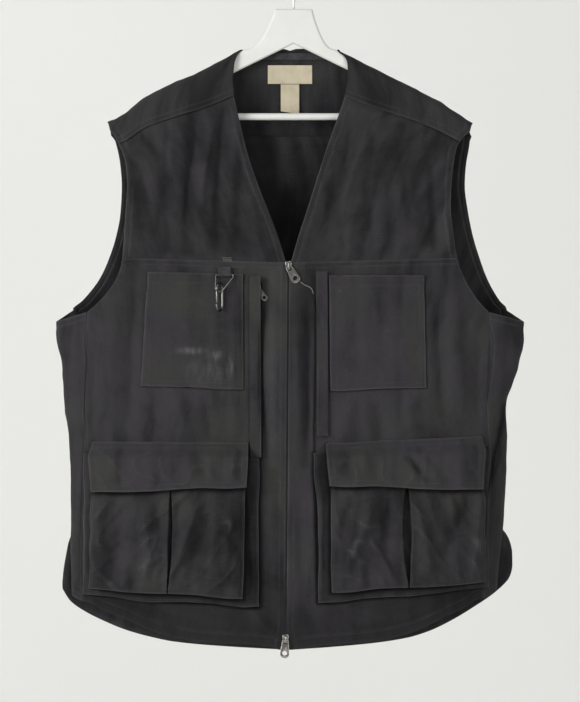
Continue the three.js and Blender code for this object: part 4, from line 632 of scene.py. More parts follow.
def clothPanel(name, surface, patch, size, edges, facing, material, lift=0.0, coarse=3.6, crumple=0.6,
               steps=(1, 1), thickness=vest["cloth"], scuffs=(), replaces=None):
    us, vs = spread(size[0], coarse), spread(size[1], coarse)
    u, v = np.meshgrid(us, vs)
    a, b = patch(u, v)
    points = surface(a, b)
    face = facing(a, b) if callable(facing) else np.array(facing, float)
    n = normals(surface, a, b, steps[0], steps[1], face)
    if name.startswith("zip_strip"):  # it spans the folds beneath it
        n = np.broadcast_to(face, points.shape).astype(float)
    walkU, walkV, far = walkedOver(points)
    along = {"start": walkV, "end": walkV, "foot": walkU, "head": walkU}
    up = lift(u, v) if callable(lift) else np.full_like(u, float(lift))
    wearAndShade = np.zeros_like(u)
    for edge, kind in edges.items():
        work, d = edgeWork[kind], far[edge]
        if work["band"]:
            up = up + work["raise"] * (1 - smooth((d - work["band"] + 0.8) / 1.6))
            wearAndShade = np.maximum(wearAndShade, 0.55 * work["wearAndShade"] * np.exp(-((d - work["band"]) / 1.8) ** 2))
        for row in work["rows"]:
            up = up - 0.45 * np.exp(-((d - row) / 1.0) ** 2)
        wave = noiseField(along[edge] / 7.5, d / 22, 5 + len(name) % 7)
        up = up + work["pucker"] * wave * np.exp(-d / 9) * smooth(d / 2)
        wearAndShade = np.maximum(wearAndShade, work["wearAndShade"] * np.exp(-d / 1.7))
        wearAndShade = np.maximum(wearAndShade, 0.35 * work["wearAndShade"] * smooth(wave + 0.2) * np.exp(-d / 8))
    c = clothRelief
    rim = np.minimum(np.minimum(far["start"], far["end"]), np.minimum(far["foot"], far["head"]))
    calm = smooth(rim / c["calmZone"])
    if name.startswith("chest_pocket") or name.startswith("zip_strip"):  # sewn flat, so they share the front's relief
        relief, calm = "front_body_" + name.rsplit("_", 1)[1], 1.0
    else:
        relief = name.replace("shoulder_yoke_right", "shoulder_yoke_left")  # one piece, cut at the middle of the back
    seed = sum(ord(k) for k in relief) % 11
    x, z = points[..., 0], points[..., 2]
    ripples = noiseField(x / 34, z / 46, seed) + 0.45 * noiseField(x / 15, z / 19, seed + 1)
    creases = 0.55 - np.abs(noiseField((x + z * 0.5) / 40, (z - x * 0.35) / 58, seed + 2)) * 2.4
    bands = noiseField(x / 23, z / 125, seed + 5) + 0.4 * noiseField(x / 11, z / 60, seed + 6)
    up = up + crumple * calm * (ripples * c["ripple"] + np.maximum(creases, 0) * c["crease"] + bands * c["band"])
    pressing = pressed(name, x, z)
    up = up + pressing * calm
    wearAndShade = np.maximum(wearAndShade, c["creaseWear"] * smooth(creases * 2 - 0.4) * crumple)
    # painted shade in the valleys of the relief and in sunk pressed folds; raised pressed folds are made a little paler
    paintedShade = c["backPaintedShade"] if name == "back_body" else c["paintedShade"] * min(1.0, crumple)
    wearAndShade = wearAndShade - paintedShade * calm * smooth(-bands * 1.1 - ripples * 0.4)
    wearAndShade = wearAndShade + np.clip(pressing * np.where(pressing < 0, c["pressedShade"], c["pressedPale"]), -0.6, 0.12)
    for sx, sy, rx, ry, strength in scuffs:
        spot = np.exp(-((x - px(sx)) / rx) ** 2 - ((z - py(sy)) / ry) ** 2)
        wearAndShade = np.maximum(wearAndShade, strength * spot * (0.45 + 0.55 * smooth(0.5 + noiseField(x / 4, z / 22, 4))))
    # painted shade from the shade lines and the shadows of raised pieces
    dark = shadeMask(name, x, z)
    if name.startswith("front_body"):
        # darker towards the hem
        dark = np.maximum(dark, 0.5 * smooth(1.15 - far["foot"] / 95))
        beside = np.exp(-((x - px(274)) / 15) ** 2) * smooth((z - py(600)) / 90)
        wearAndShade = np.maximum(wearAndShade, 0.3 * beside * (1 - 4 * np.minimum(dark, 0.25)))
    wearAndShade = mix(wearAndShade, -1, np.minimum(dark, 1))
    wall = thickness * mix(0.5, 1, smooth(rim / 1.2))
    outer = points + n * (up + wall / 2)[..., None]
    inner = points + n * (up - wall / 2)[..., None]
    rows, cols = u.shape
    index = np.arange(rows * cols).reshape(rows, cols)
    towards = np.sum(np.cross(points[1:2, 2:3] - points[1:2, 1:2], points[2:3, 1:2] - points[1:2, 1:2]) * n[1:2, 1:2])
    under = index + rows * cols
    turned = towards < 0
    faces = [quads(index, turned), quads(under, not turned)]
    faces += [q[:, ::-1] if turned else q for q in rimQuads(index, under)]
    verts = np.concatenate([outer.reshape(-1, 3), inner.reshape(-1, 3)])
    verts[:, 0] += vest["shift"]
    inside = 0.2 * np.maximum(wearAndShade, 0)
    if name == "back_body":  # its lining side is painted paler low down near the hem and the vents, painted light where it shows below the front; paler lines run along its side edges
        arm = np.minimum(far["start"], far["end"])
        low = smooth((neckZ - 520 - z) / 60)
        inside = np.maximum(inside, 0.42 * np.exp(-np.minimum(far["foot"], arm) / 22) * low)
        binding = 0.5 * np.exp(-arm / 1.6) + 0.4 * np.exp(-((arm - 3.2) / 0.9) ** 2)
        inside = np.maximum(inside, 0.6 * np.exp(-((arm - 8.5) / 1.1) ** 2) + binding)
    uv = np.stack([walkU + 400 * seed, walkV], -1).reshape(-1, 2)
    obj = meshObject(name, verts, np.concatenate(faces).tolist(), material, "vest",
                     uv=np.concatenate([uv, uv]),
                     fields={"wearAndShade": np.concatenate([wearAndShade.ravel(), inside.ravel()])})
    if len(obj.data.materials) > 1:
        which = np.zeros(len(obj.data.polygons), int)
        which[len(faces[0]):len(faces[0]) + len(faces[1])] = 1
        obj.data.polygons.foreach_set("material_index", which)
    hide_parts(*(replaces or [name]))
    for edge, kind in edges.items():
        for row in edgeWork[kind]["rows"]:
            addStitches(name, outer, n, far[edge], edge, row)
    return {"obj": obj, "outer": outer, "normal": n, "far": far, "area": squareMetres(points), "size": size}


stitches = {"pitch": 3.3, "length": 2.5, "width": 0.62, "height": 0.34}
stitchPaths = []


def addStitches(name, outer, n, far, edge, distance):  # a row at one distance from an edge
    if edge in ("foot", "head"):
        outer, n, far = outer.swapaxes(0, 1), n.swapaxes(0, 1), far.T
    lines = []
    for line, ups, walked in zip(outer, n, far):
        if walked.max() >= distance:
            order = np.argsort(walked)
            lines.append([np.interp(distance, walked[order], one[order, k])
                          for one in (line, ups) for k in range(3)])
    stitchPaths.append((name, np.array(lines)))


def stitchMesh(name, paths, material, s=stitches):  # each stitch is a small spindle of thread
    verts, faces = [], []
    for line in paths:
        p, n = line[:, :3], line[:, 3:]
        walked = np.concatenate([[0], np.cumsum(np.linalg.norm(np.diff(p, axis=0), axis=1))])
        places = np.arange(s["pitch"] / 2 + 2, walked[-1] - s["pitch"] / 2 - 2, s["pitch"])
        if not len(places):
            continue
        centre = np.stack([np.interp(places, walked, p[:, k]) for k in range(3)], -1)
        ahead = np.stack([np.interp(places + 0.8, walked, p[:, k]) for k in range(3)], -1)
        normal = np.stack([np.interp(places, walked, n[:, k]) for k in range(3)], -1)
        normal /= np.linalg.norm(normal, axis=1, keepdims=True)
        run = ahead - centre
        run /= np.maximum(np.linalg.norm(run, axis=1, keepdims=True), 1e-9)
        side = np.cross(run, normal)
        l, w, h = s["length"] / 2, s["width"] / 2, s["height"]
        corners = [centre - run * l - normal * 0.12, centre + side * w, centre + normal * h,
                   centre - side * w, centre - normal * 0.2, centre + run * l - normal * 0.12]
        first = len(verts)
        verts.extend(np.stack(corners, 1).reshape(-1, 3))
        for k in range(len(places)):
            o = first + 6 * k
            for a, b in ((1, 2), (2, 3), (3, 4), (4, 1)):
                faces.append((o, o + b, o + a))
                faces.append((o + 5, o + a, o + b))
    verts = np.array(verts)
    verts[:, 0] += vest["shift"]
    uv = verts[:, [0, 2]]
    meshObject(name, verts, faces, material, "vest", uv=uv)


# The edges that the panels share.
def zipX(z):
    return vest["zipLean"] * np.clip(levelOf(z), 0, 1)


def zipHalfGap(z):
    part = vest["zipPartLevel"]
    return (vest["zipGap"] + vest["zipParted"] * smooth((levelOf(z) - part) / (1 - part))) / 2


def armholeX(side, down, face="front"):
    column = side if face == "front" else "back" + side.capitalize()
    return sign(side) * half * readTable(armholes, "down", column, down)


def armholeZ(down):
    return heightOf(mix(armTopLevel, armFootLevel, down))


def necklineX(side, down):
    return sign(side) * neckHalf * readTable(necklines, "down", side, down)


def necklineZ(down):
    return neckZ - vest["neckDepth"] * np.asarray(down, float)


def bodyHalf(side, z):
    return half * readTable(bodyWidths, "level", side, levelOf(z))


def sideSeamX(side, z):
    return sign(side) * bodyHalf(side, z) * readTable(sideSeams, "level", side, levelOf(z))


def hemZ(side, x):
    return heightOf(readTable(hems, "out", side, np.abs(x) / half))


def backHemZ(x):
    out = np.abs(x) / half
    return heightOf(np.where(x < 0, readTable(hems, "out", "backRight", out), readTable(hems, "out", "backLeft", out)))


def frontSeamDrop(share):
    return mix(vest["frontSeamInner"], vest["frontSeamOuter"], share)


def yokeSeamZ(x):
    return neckZ - vest["frontYokeDrop"] - vest["yokeSeamDip"] * (1 - np.clip(np.abs(x) / (half * 0.7), 0, 1))


def firstDown(reached, step=0.001):
    down = 0.0
    while not reached(down) and down < 1:
        down += step
    return down


bothSides = ("right", "left")
seamOuterDown = {s: firstDown(lambda d: ridge(armholeX(s, d)) - armholeZ(d) > vest["frontSeamOuter"])
                 for s in bothSides}
seamInnerDown = {s: firstDown(lambda d: ridge(necklineX(s, d)) - necklineZ(d) > vest["frontSeamInner"])
                 for s in bothSides}
yokeOuterDown = {s: firstDown(lambda d: armholeZ(d) < yokeSeamZ(armholeX(s, d))) for s in bothSides}
seamHalf = vest["seamGap"] / 2
towardsViewer, towardsWall = (0, -1, 0), (0, 1, 0)


def frontYoke(side):
    under = 5.25  # its head lies this far under the shoulder yoke
    downs = mix(1, seamInnerDown[side] - under / vest["neckDepth"], np.linspace(0, 1, 40))
    neckZs = necklineZ(downs)
    neckXs = necklineX(side, downs) + zipX(neckZs) * downs**3 + sign(side) * vest["zipGap"] * downs / 2
    neck = edgeThrough(np.stack([neckXs, neckZs], -1))
    downs = mix(yokeOuterDown[side], seamOuterDown[side] - under / vest["armholeDepth"], np.linspace(0, 1, 40))
    arm = edgeThrough(np.stack([armholeX(side, downs), armholeZ(downs)], -1))

    def foot(u):
        x = mix(neck(0)[0], arm(0)[0], u)
        return x, yokeSeamZ(x) + seamHalf

    def head(u):
        x = mix(neck(1)[0], arm(1)[0], u)
        return x, ridge(x) - frontSeamDrop(u) + under - seamHalf
    return clothPanel(f"front_yoke_{side}", frontSurface, between(foot, head, neck, arm), (226, 222),
                      {"start": "hem", "end": "hem", "foot": "butt", "head": "plain"}, towardsViewer,
                      [canvasYoke, canvasInside], crumple=0.9, coarse=3.0,
                      lift=lambda u, v: -2.4 * smooth((v - 0.935) / 0.036))


def frontBody(side):
    zipTop = float(yokeSeamZ(0.0)) - seamHalf
    hemCentre = float(hemZ(side, 0.0))

    def inner(t):
        z = mix(hemCentre, zipTop, t)
        return zipX(z) + sign(side) * zipHalfGap(z), z
    seamTop = float(armholeZ(vest["sideSeamTopFront"]))
    inset = sign(side) * seamHalf
    cornerX = float(sideSeamX(side, heightOf(0.91))) - inset
    corner = (cornerX, float(hemZ(side, cornerX)))
    zs = mix(corner[1], seamTop, np.linspace(0, 1, 40))
    downs = mix(vest["sideSeamTopFront"], yokeOuterDown[side], np.linspace(0, 1, 24))[1:]
    outer = edgeThrough(np.concatenate([np.stack([sideSeamX(side, zs) - inset, zs], -1),
                                        np.stack([armholeX(side, downs), armholeZ(downs)], -1)]))

    def foot(u):
        x = mix(inner(0)[0], outer(0)[0], u)
        return x, mix(mix(hemCentre, hemZ(side, x), smooth(u * 20)), outer(0)[1], smooth((u - 0.9) * 10))

    def head(u):
        x = mix(inner(1)[0], outer(1)[0], u)
        return x, yokeSeamZ(x) - seamHalf
    return clothPanel(f"front_body_{side}", frontSurface, between(foot, head, inner, outer), (262, 520),
                      {"start": "hem", "end": "one", "foot": "hemWide", "head": "lap"}, towardsViewer,
                      [canvasBody, canvasInside], crumple=0.55, coarse=2.8)


def sidePanel(side):
    def angleOf(share):
        return np.arccos(np.clip(np.asarray(share, float) ** 2, 0, 1))

    def frontAngle(z):
        return -angleOf((np.abs(sideSeamX(side, z)) + seamHalf) / bodyHalf(side, z))

    def backAngle(z):  # its back edge lies under the back panel down to the vent
        opened = smooth((levelOf(z) - vest["ventTop"]) / vest["ventOpening"])
        return angleOf(mix(vest["backSeamShare"] - 5 / half, vest["ventEdge"], opened))

    def patch(u, v):
        armZ = armholeZ(0.97)
        angle = mix(frontAngle(armZ), backAngle(armZ), u)
        reach = np.sqrt(np.cos(angle))
        near = np.where(angle < 0, np.sqrt(np.cos(frontAngle(armZ))), np.sqrt(np.cos(backAngle(armZ))))
        share = np.clip((reach - near) / (1 - near), 0, 1)
        top = armholeZ(mix(np.where(angle < 0, vest["sideSeamTopFront"], vest["sideSeamTopBack"]), 1, share))
        lowZ = heightOf(0.9)
        lowAngle = mix(frontAngle(lowZ), backAngle(lowZ), u)
        low = hemZ(side, bodyHalf(side, lowZ) * np.sqrt(np.cos(lowAngle)))
        z = mix(low, top, v)
        return mix(frontAngle(z), backAngle(z), u), z
    return clothPanel(f"side_panel_{side}", sideSurface(side), patch, (70, 390),
                      {"start": "one", "end": "plain", "foot": "hem", "head": "hem"}, (sign(side), 0, 0),
                      [canvasBody, canvasInside], steps=(0.01, 1), crumple=0.6,
                      lift=lambda u, v: -2.2 * smooth((u - 0.9) / 0.05) * smooth((v - 0.22) / 0.05))


def backBody():
    seamZ = float(heightOf(vest["backYokeDrop"] / vest["length"])) + 6  # its top edge lies under the yoke

    def outer(side):
        armTop = (float(armholeZ(0)) - seamZ) / vest["armholeDepth"]
        seamTop = float(armholeZ(vest["sideSeamTopBack"]))
        ventZ = float(heightOf(vest["ventTop"]))

        def edgeX(z):
            return sign(side) * half * readTable(ventEdges, "level", side, levelOf(z))

        def seamX(z):
            return sign(side) * (vest["backSeamShare"] * bodyHalf(side, z) - seamHalf)
        corner = ventZ
        while corner > backHemZ(edgeX(corner)):
            corner -= 1
        low = np.linspace(corner, ventZ, 20)[:-1]
        mid = np.linspace(ventZ, seamTop, 30)
        downs = mix(vest["sideSeamTopBack"], armTop, np.linspace(0, 1, 30))[1:]
        return edgeThrough(np.concatenate([np.stack([edgeX(low), low], -1), np.stack([seamX(mid), mid], -1),
                                           np.stack([armholeX(side, downs, "back"), armholeZ(downs)], -1)]))
    start, end = outer("right"), outer("left")

    def foot(u):
        x = mix(start(0)[0], end(0)[0], u)
        offRight, offLeft = start(0)[1] - backHemZ(start(0)[0]), end(0)[1] - backHemZ(end(0)[0])
        return x, backHemZ(x) + offRight * (1 - smooth(u * 30)) + offLeft * smooth(u * 30 - 29)

    def head(u):
        return mix(start(1)[0], end(1)[0], u), mix(start(1)[1], end(1)[1], u)
    return clothPanel("back_body", backSurface, between(foot, head, start, end), (600, 690),
                      {"start": "hem", "end": "hem", "foot": "hemWide", "head": "plain"}, towardsWall,
                      [canvasBody, canvasInside], coarse=5.5, crumple=1.0,
                      lift=lambda u, v: -2.6 * smooth((v - 0.974) / 0.014))


def shoulderYoke():
    seamZ = float(heightOf(vest["backYokeDrop"] / vest["length"])) + seamHalf
    overArm = [share * quarterBend for share in (1.2, 0.8, 0.4, 0, -0.4, -0.8, -1.2)]
    crossX = neckHalf * vest["ridgeStart"]
    neckTop = float(walkedTo(vest["backNeckDrop"]))

    def edges(side):
        innerDown, outerDown = seamInnerDown[side], seamOuterDown[side]

        def walkedDown(x, z):
            return walkedTo(max(0, ridge(x) - z))

        def frontNeck(walked):
            down = firstDown(lambda d: d >= innerDown or walkedDown(necklineX(side, d), necklineZ(d)) >= walked)
            return float(necklineX(side, down))

        def frontArm(walked):
            down = firstDown(lambda d: d >= outerDown or walkedDown(armholeX(side, d), armholeZ(d)) >= walked)
            return float(armholeX(side, down))
        backDown = (float(armholeZ(0)) - seamZ) / vest["armholeDepth"]
        backX, tip = float(armholeX(side, backDown, "back")), sign(side) * tipHalf
        backWalk = float(walkedTo(ridge(backX) - seamZ))
        innerFoot, outerFoot = float(walkedTo(vest["frontSeamInner"])), float(walkedTo(vest["frontSeamOuter"]))
        inner = [(0, float(walkedTo(ridge(0.0) - seamZ))), (0, mix(float(walkedTo(ridge(0.0) - seamZ)), neckTop, 0.5))]
        outer = [(backX, backWalk), (mix(backX, tip, 0.5), mix(backWalk, overArm[0], 0.5))]
        for walked in overArm:
            reach = min(1, max(0, walked / overArm[0]))
            if walked > 0:
                inner.append((sign(side) * crossX * math.sqrt(max(0, 1 - reach * reach)), neckTop * reach))
            else:
                inner.append((sign(side) * crossX if walked == 0 else frontNeck(-walked), walked))
            outer.append((tip - sign(side) * (1 + 3 * abs(walked / quarterBend)), walked))
        for share in (0.5, 1):
            a, b = mix(-overArm[-1], innerFoot, share), mix(-overArm[-1], outerFoot, share)
            inner.append((frontNeck(a), seamHalf * share - a))
            outer.append((frontArm(b), seamHalf * share - b))
        return np.array(inner), np.array(outer)

    def halfYoke(side):
        inner, outer = edges(side)
        knots = np.linspace(0, 1, len(inner))

        def patch(u, v):
            x = mix(np.interp(v, knots, inner[:, 0]), np.interp(v, knots, outer[:, 0]), u)
            walked = mix(np.interp(v, knots, inner[:, 1]), np.interp(v, knots, outer[:, 1]), u)
            footShift = walkedTo(ridge(x) - seamZ) - mix(inner[0, 1], outer[0, 1], u)
            headShift = -walkedTo(frontSeamDrop(u)) + seamHalf - mix(inner[-1, 1], outer[-1, 1], u)
            walked = walked + footShift * smooth(1 - v / knots[2])
            return x, walked + headShift * smooth((v - knots[-3]) / (1 - knots[-3]))
        return clothPanel(f"shoulder_yoke_{side}", yokeSurface, patch, (230, 190),
                          {"end": "hem", "foot": "lap", "head": "lap"},
                          lambda a, b: np.stack([a * 0, b, b * 0 + 14.0], -1),
                          [canvasYoke, canvasInside], steps=(0.5, 0.5), crumple=0.45, coarse=3.2,
                          replaces=["shoulder_yoke"])
    return halfYoke("right"), halfYoke("left")


# Pockets and flaps: inner edge at the top and the foot, level of the top, rise of the outer corners,
# flare towards the foot and share of the full height.
places = {
    "chest_pocket": {
        "right": (0.2, 0.198, 0.375, 0.02, 0.035, 0.07, 1),
        "left": (0.166, 0.172, 0.377, 0, 0.03, 0, 1),
    },
    "zip_strip": {
        "right": (0.126, 0.122, 0.378, 0, 0, 0, 1),
        "left": (0.112, 0.116, 0.37, 0, 0, 0, 0.91),
    },
    "base_pocket": {
        "right": (0.131, 0.133, 0.68, 0.03, 0.085, -0.01, 1),
        "left": (0.102, 0.12, 0.672, 0.03, 0.1, -0.045, 1),
    },
    "cargo_pocket": {
        "right": (0.185, 0.2, 0.699, -0.02, 0.078, -0.034, 1),
        "left": (0.17, 0.176, 0.692, 0, 0.08, -0.04, 0.985),
    },
    "pocket_flap": {
        "right": (0.177, 0.183, 0.6545, 0.02, -0.11, -0.045, 1),
        "left": (0.153, 0.166, 0.656, 0.17, -0.085, -0.055, 0.95),
    },
}
pocketSizes = {
    "chest_pocket": (128, 155), "zip_strip": (15, 243), "base_pocket": (234, 200), "cargo_pocket": (204, 172),
    "pocket_flap": (209, 60), "layerGap": 0.9, "flatGap": 0.6, "baseDepth": 8, "cargoDepth": 19,
    "flapSlope": 13, "stripLift": 8, "baseTuck": 3.5, "cargoTuck": 9.0,
    "edgeWobble": {"zip_strip": 0, "chest_pocket": 1.0},
}
onCloth = vest["cloth"] / 2 + pocketSizes["layerGap"]


def placed(piece, side):
    width, height = pocketSizes[piece]
    innerTop, innerFoot, level, riseTop, riseFoot, flare, tall = places[piece][side]
    tallest = height * tall

    def patch(u, v):
        across = half * mix(innerFoot, innerTop, v) + width * u * (1 + flare * (1 - v))
        wobble = pocketSizes["edgeWobble"].get(piece, 1.9)
        across = across + wobble * noiseField(v * height / 48, u * 2.2 + 3, 8) * smooth((1 - v) * 6)
        sag = wobble * 1.2 * noiseField(u * width / 52, v * 1.5 + 6, 9) * (1 - v) ** 2
        rise = tallest * u * mix(riseFoot, riseTop, v)
        return sign(side) * across, heightOf(level) - tallest * (1 - v) + rise + sag
    return patch


pocketFolds = {
    "cargo_pocket_right": [
        (204, 492, 168, 586, 5, 7.5), (214, 494, 186, 584, 9, -7.5), (232, 492, 226, 594, 7, 6.0),
        (176, 566, 240, 584, 4, 5.0),
        (222, 520, 242, 560, 7, -6.0), (126, 494, 116, 588, 11, -8.0),
        (146, 492, 152, 594, 8, 6.5), (96, 560, 132, 600, 4, 6.0),
        (106, 496, 97, 566, 7, 5.0), (160, 494, 158, 540, 5, -4.5),
        (136, 560, 134, 598, 6, -5.5), (184, 494, 176, 530, 6, -4.0),
    ],
    "cargo_pocket_left": [
        (378, 490, 342, 582, 8, 8.0), (366, 530, 396, 584, 4, 6.5), (354, 492, 336, 560, 8, -6.5),
        (390, 488, 386, 560, 7, -7.0),
        (410, 488, 432, 574, 6, 8.0), (468, 490, 436, 578, 9, -8.5),
        (476, 494, 466, 586, 5, 6.0), (448, 488, 454, 540, 5, 5.0),
        (364, 560, 372, 592, 6, -5.5), (412, 556, 418, 592, 6, -4.0),
    ],
    "base_pocket_right": [(84, 470, 90, 590, 4, 3.0), (246, 470, 256, 600, 4, 2.2), (110, 604, 220, 608, 4, 2.0)],
    "base_pocket_left": [(322, 470, 320, 596, 4, 2.2), (486, 480, 482, 580, 4, 3.0), (360, 600, 450, 594, 4, 2.0)],
    "pocket_flap_right": [(122, 446, 116, 488, 8, 2.6), (196, 446, 204, 484, 8, -2.6), (236, 446, 228, 484, 6, 2.2)],
    "pocket_flap_left": [
        (400, 448, 428, 486, 4, -4.0), (366, 446, 362, 482, 8, 3.0),
        (412, 446, 438, 482, 5, 2.8), (456, 458, 456, 484, 10, 2.0),
    ],
}


def pressed(name, x, z):
    return foldRise(pocketFolds.get(name, ()), x, z)


panels = {}
for side in bothSides:
    panels[f"front_yoke_{side}"] = frontYoke(side)
    panels[f"front_body_{side}"] = frontBody(side)
    panels[f"side_panel_{side}"] = sidePanel(side)
panels["back_body"] = backBody()
panels["shoulder_right"], panels["shoulder_left"] = shoulderYoke()
print("body panels sewn")

pleats = {  # the slit's middle at its top and foot, as shares across, and its widest opening
    "cargo_pocket_right": (0.485, 0.505, 5.0), "cargo_pocket_left": (0.495, 0.522, 12.0),
}


def pocketDepth(deep, atTop):
    return lambda u, v: deep * mix(1, atTop, smooth(v))


# Bellows relief sizes, and how much painted shade the valleys and sunk folds get.
bellowsRelief = {
    "ripple": 1.5, "crease": 2.2, "band": 1.3, "wave": 1.3, "slant": 0.8, "calmZone": 12, "hemRow": 3.0,
    "creaseWear": 0.34, "paintedShade": 0.42, "pressedShade": 0.15, "pressedPale": 0.03,
}


def bellows(name, patch, size, base, depth, crumple, tuck, coarse=3.0):
    b = bellowsRelief
    us = spread(size[0], coarse, 1.4, 18)
    vs = spread(size[1], coarse, 1.4, 18)
    slit = pleats.get(name)
    if slit:
        us = np.unique(np.round(np.concatenate([us, 0.5 + np.arange(-13, 13.1, 0.8) / size[0]]), 5))
    u, v = np.meshgrid(us, vs)
    x, z = patch(u, v)
    points = frontSurface(x, z)
    n = normals(frontSurface, x, z, 1, 1, np.array(towardsViewer, float))
    walkU, walkV, far = walkedOver(points)
    rim = np.minimum(np.minimum(far["start"], far["end"]), far["foot"])
    seed = sum(ord(k) for k in name) % 11
    calm = smooth(rim / b["calmZone"])
    ripples = noiseField(x / 32, z / 46, seed) + 0.5 * noiseField(x / 14, z / 19, seed + 1)
    slant = -b["slant"] if name.endswith("right") else b["slant"]
    creases = 0.5 - np.abs(noiseField((x + slant * z) / 34, (z - slant * x) / 90, seed + 2)) * 2.0
    bands = noiseField((x + slant * z * 0.35) / 26, z / 70, seed + 5)
    lumps = crumple * calm * (b["ripple"] * ripples + b["crease"] * np.maximum(creases, 0) + b["band"] * bands)
    waves = b["wave"] * crumple * noiseField(walkU / 26, walkV / 26, seed + 4) * (1 - calm)
    pressing = pressed(name, x, z)
    high = depth(u, v) * (1 - 0.16 * (1 - smooth(rim / 6))) + lumps + waves + pressing * smooth(rim / 5)
    # rubbed creases, and painted shade in the valleys of the relief and in sunk pressed folds; raised pressed folds are
    # made a little paler
    wearAndShade = b["creaseWear"] * smooth(creases * 2 - 0.3) * calm - b["paintedShade"] * calm * smooth(-bands * 1.1 - ripples * 0.5)
    wearAndShade = wearAndShade + np.clip(pressing * np.where(pressing < 0, b["pressedShade"], b["pressedPale"]), -0.7, 0.14)
    for edge in ("start", "end", "foot"):
        wearAndShade = np.maximum(wearAndShade, 0.6 * np.exp(-far[edge] / 1.6))
        high = high - 0.4 * np.exp(-((far[edge] - b["hemRow"]) / 1.0) ** 2)
    wearAndShade = np.maximum(wearAndShade, 0.4 * np.exp(-far["head"] / 2))
    if slit:  # two lips with a dark opening between them
        across = (u - mix(slit[1], slit[0], v)) * size[0]
        opening = slit[2] * np.maximum(0.12, np.sin(np.clip(v * 1.15, 0, 1) ** 1.1 * math.pi) ** 0.8)
        inside = np.abs(across) - opening / 2
        lips = 1.6 * np.exp(-(np.maximum(inside, 0) / 5) ** 2) * smooth(inside + 0.5)
        high = high * (1 - 0.62 * smooth(-inside / 0.9 + 0.6)) + lips
        wearAndShade = np.maximum(wearAndShade, 0.32 * np.exp(-(np.maximum(inside - 0.4, 0) / 1.2) ** 2) * smooth(inside * 2))
    # painted shade from the shadows of raised pieces
    wearAndShade = mix(wearAndShade, -1, np.minimum(shadeMask(name, x, z), 1))
    wall = vest["cloth"]
    outer = points + n * (base + high)[..., None]
    inner = points + n * (base + np.maximum(high - wall, 0.1))[..., None]
    rows, cols = u.shape
    grid = np.arange(rows * cols).reshape(rows, cols)
    under = grid + rows * cols
    faceList = quads(grid).tolist() + quads(under, True).tolist()
    loop = [(j, 0) for j in range(rows - 1, 0, -1)] + [(0, i) for i in range(cols)]
    loop += [(j, cols - 1) for j in range(1, rows)]
    count = len(loop)
    inward = np.array([points[min(max(j, 8), rows - 1), min(max(i, 8), cols - 9)] - points[j, i] for j, i in loop])
    inward /= np.maximum(np.linalg.norm(inward, axis=1, keepdims=True), 1e-6)
    rings = []  # side walls, tucked in halfway like a bellows
    for share, inset in ((0.72, tuck * 0.7), (0.45, tuck), (0.2, tuck * 0.6), (0.0, tuck * 0.5)):
        rings.append(np.array([points[k] + n[k] * (base + high[k] * share) for k in loop]) + inward * inset)
    layers = [outer.reshape(-1, 3), inner.reshape(-1, 3)]
    first = 2 * rows * cols
    outside, lining = [[grid[k] for k in loop]], [[under[k] for k in loop]]
    for ring in rings:
        layers.append(ring)
        outside.append(list(range(first, first + count)))
        layers.append(ring + inward * wall)
        lining.append(list(range(first + count, first + 2 * count)))
        first += 2 * count
    for one, two in zip(outside[:-1], outside[1:]):
        faceList += [(one[k], two[k], two[k + 1], one[k + 1]) for k in range(count - 1)]
    for one, two in zip(lining[:-1], lining[1:]):
        faceList += [(one[k], one[k + 1], two[k + 1], two[k]) for k in range(count - 1)]
    faceList += [(outside[-1][k], lining[-1][k], lining[-1][k + 1], outside[-1][k + 1]) for k in range(count - 1)]
    for end in (0, count - 1):
        faceList += [(outside[k][end], outside[k + 1][end], lining[k + 1][end], lining[k][end])
                     for k in range(len(outside) - 1)]
    faceList += [(grid[-1, i], grid[-1, i + 1], under[-1, i + 1], under[-1, i]) for i in range(cols - 1)]
    allVerts = np.concatenate(layers)
    allVerts[:, 0] += vest["shift"]
    uv = np.stack([walkU + 400 * seed, walkV], -1)
    edgeUv = np.array([uv[k] for k in loop])
    ringUv = [edgeUv + (k // 2 + 1) * 4.0 for k in range(2 * len(rings))]
    # the bellows' side walls get painted shade
    allWearAndShade = np.concatenate([wearAndShade.ravel(), wearAndShade.ravel() * 0.2, np.full(2 * len(rings) * count, -0.8)])
    allFaces = [tuple(int(k) for k in face) for face in faceList]
    obj = meshObject(name, allVerts, allFaces, [canvasCargo], "vest",
                     uv=np.concatenate([uv.reshape(-1, 2), uv.reshape(-1, 2)] + ringUv), fields={"wearAndShade": allWearAndShade})
    turnOutward(obj)
    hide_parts(name)
    for edge in ("start", "end", "foot"):
        addStitches(name, outer, n, far[edge], edge, b["hemRow"])
    return {"obj": obj, "outer": outer, "normal": n, "far": far, "area": squareMetres(points), "size": size}


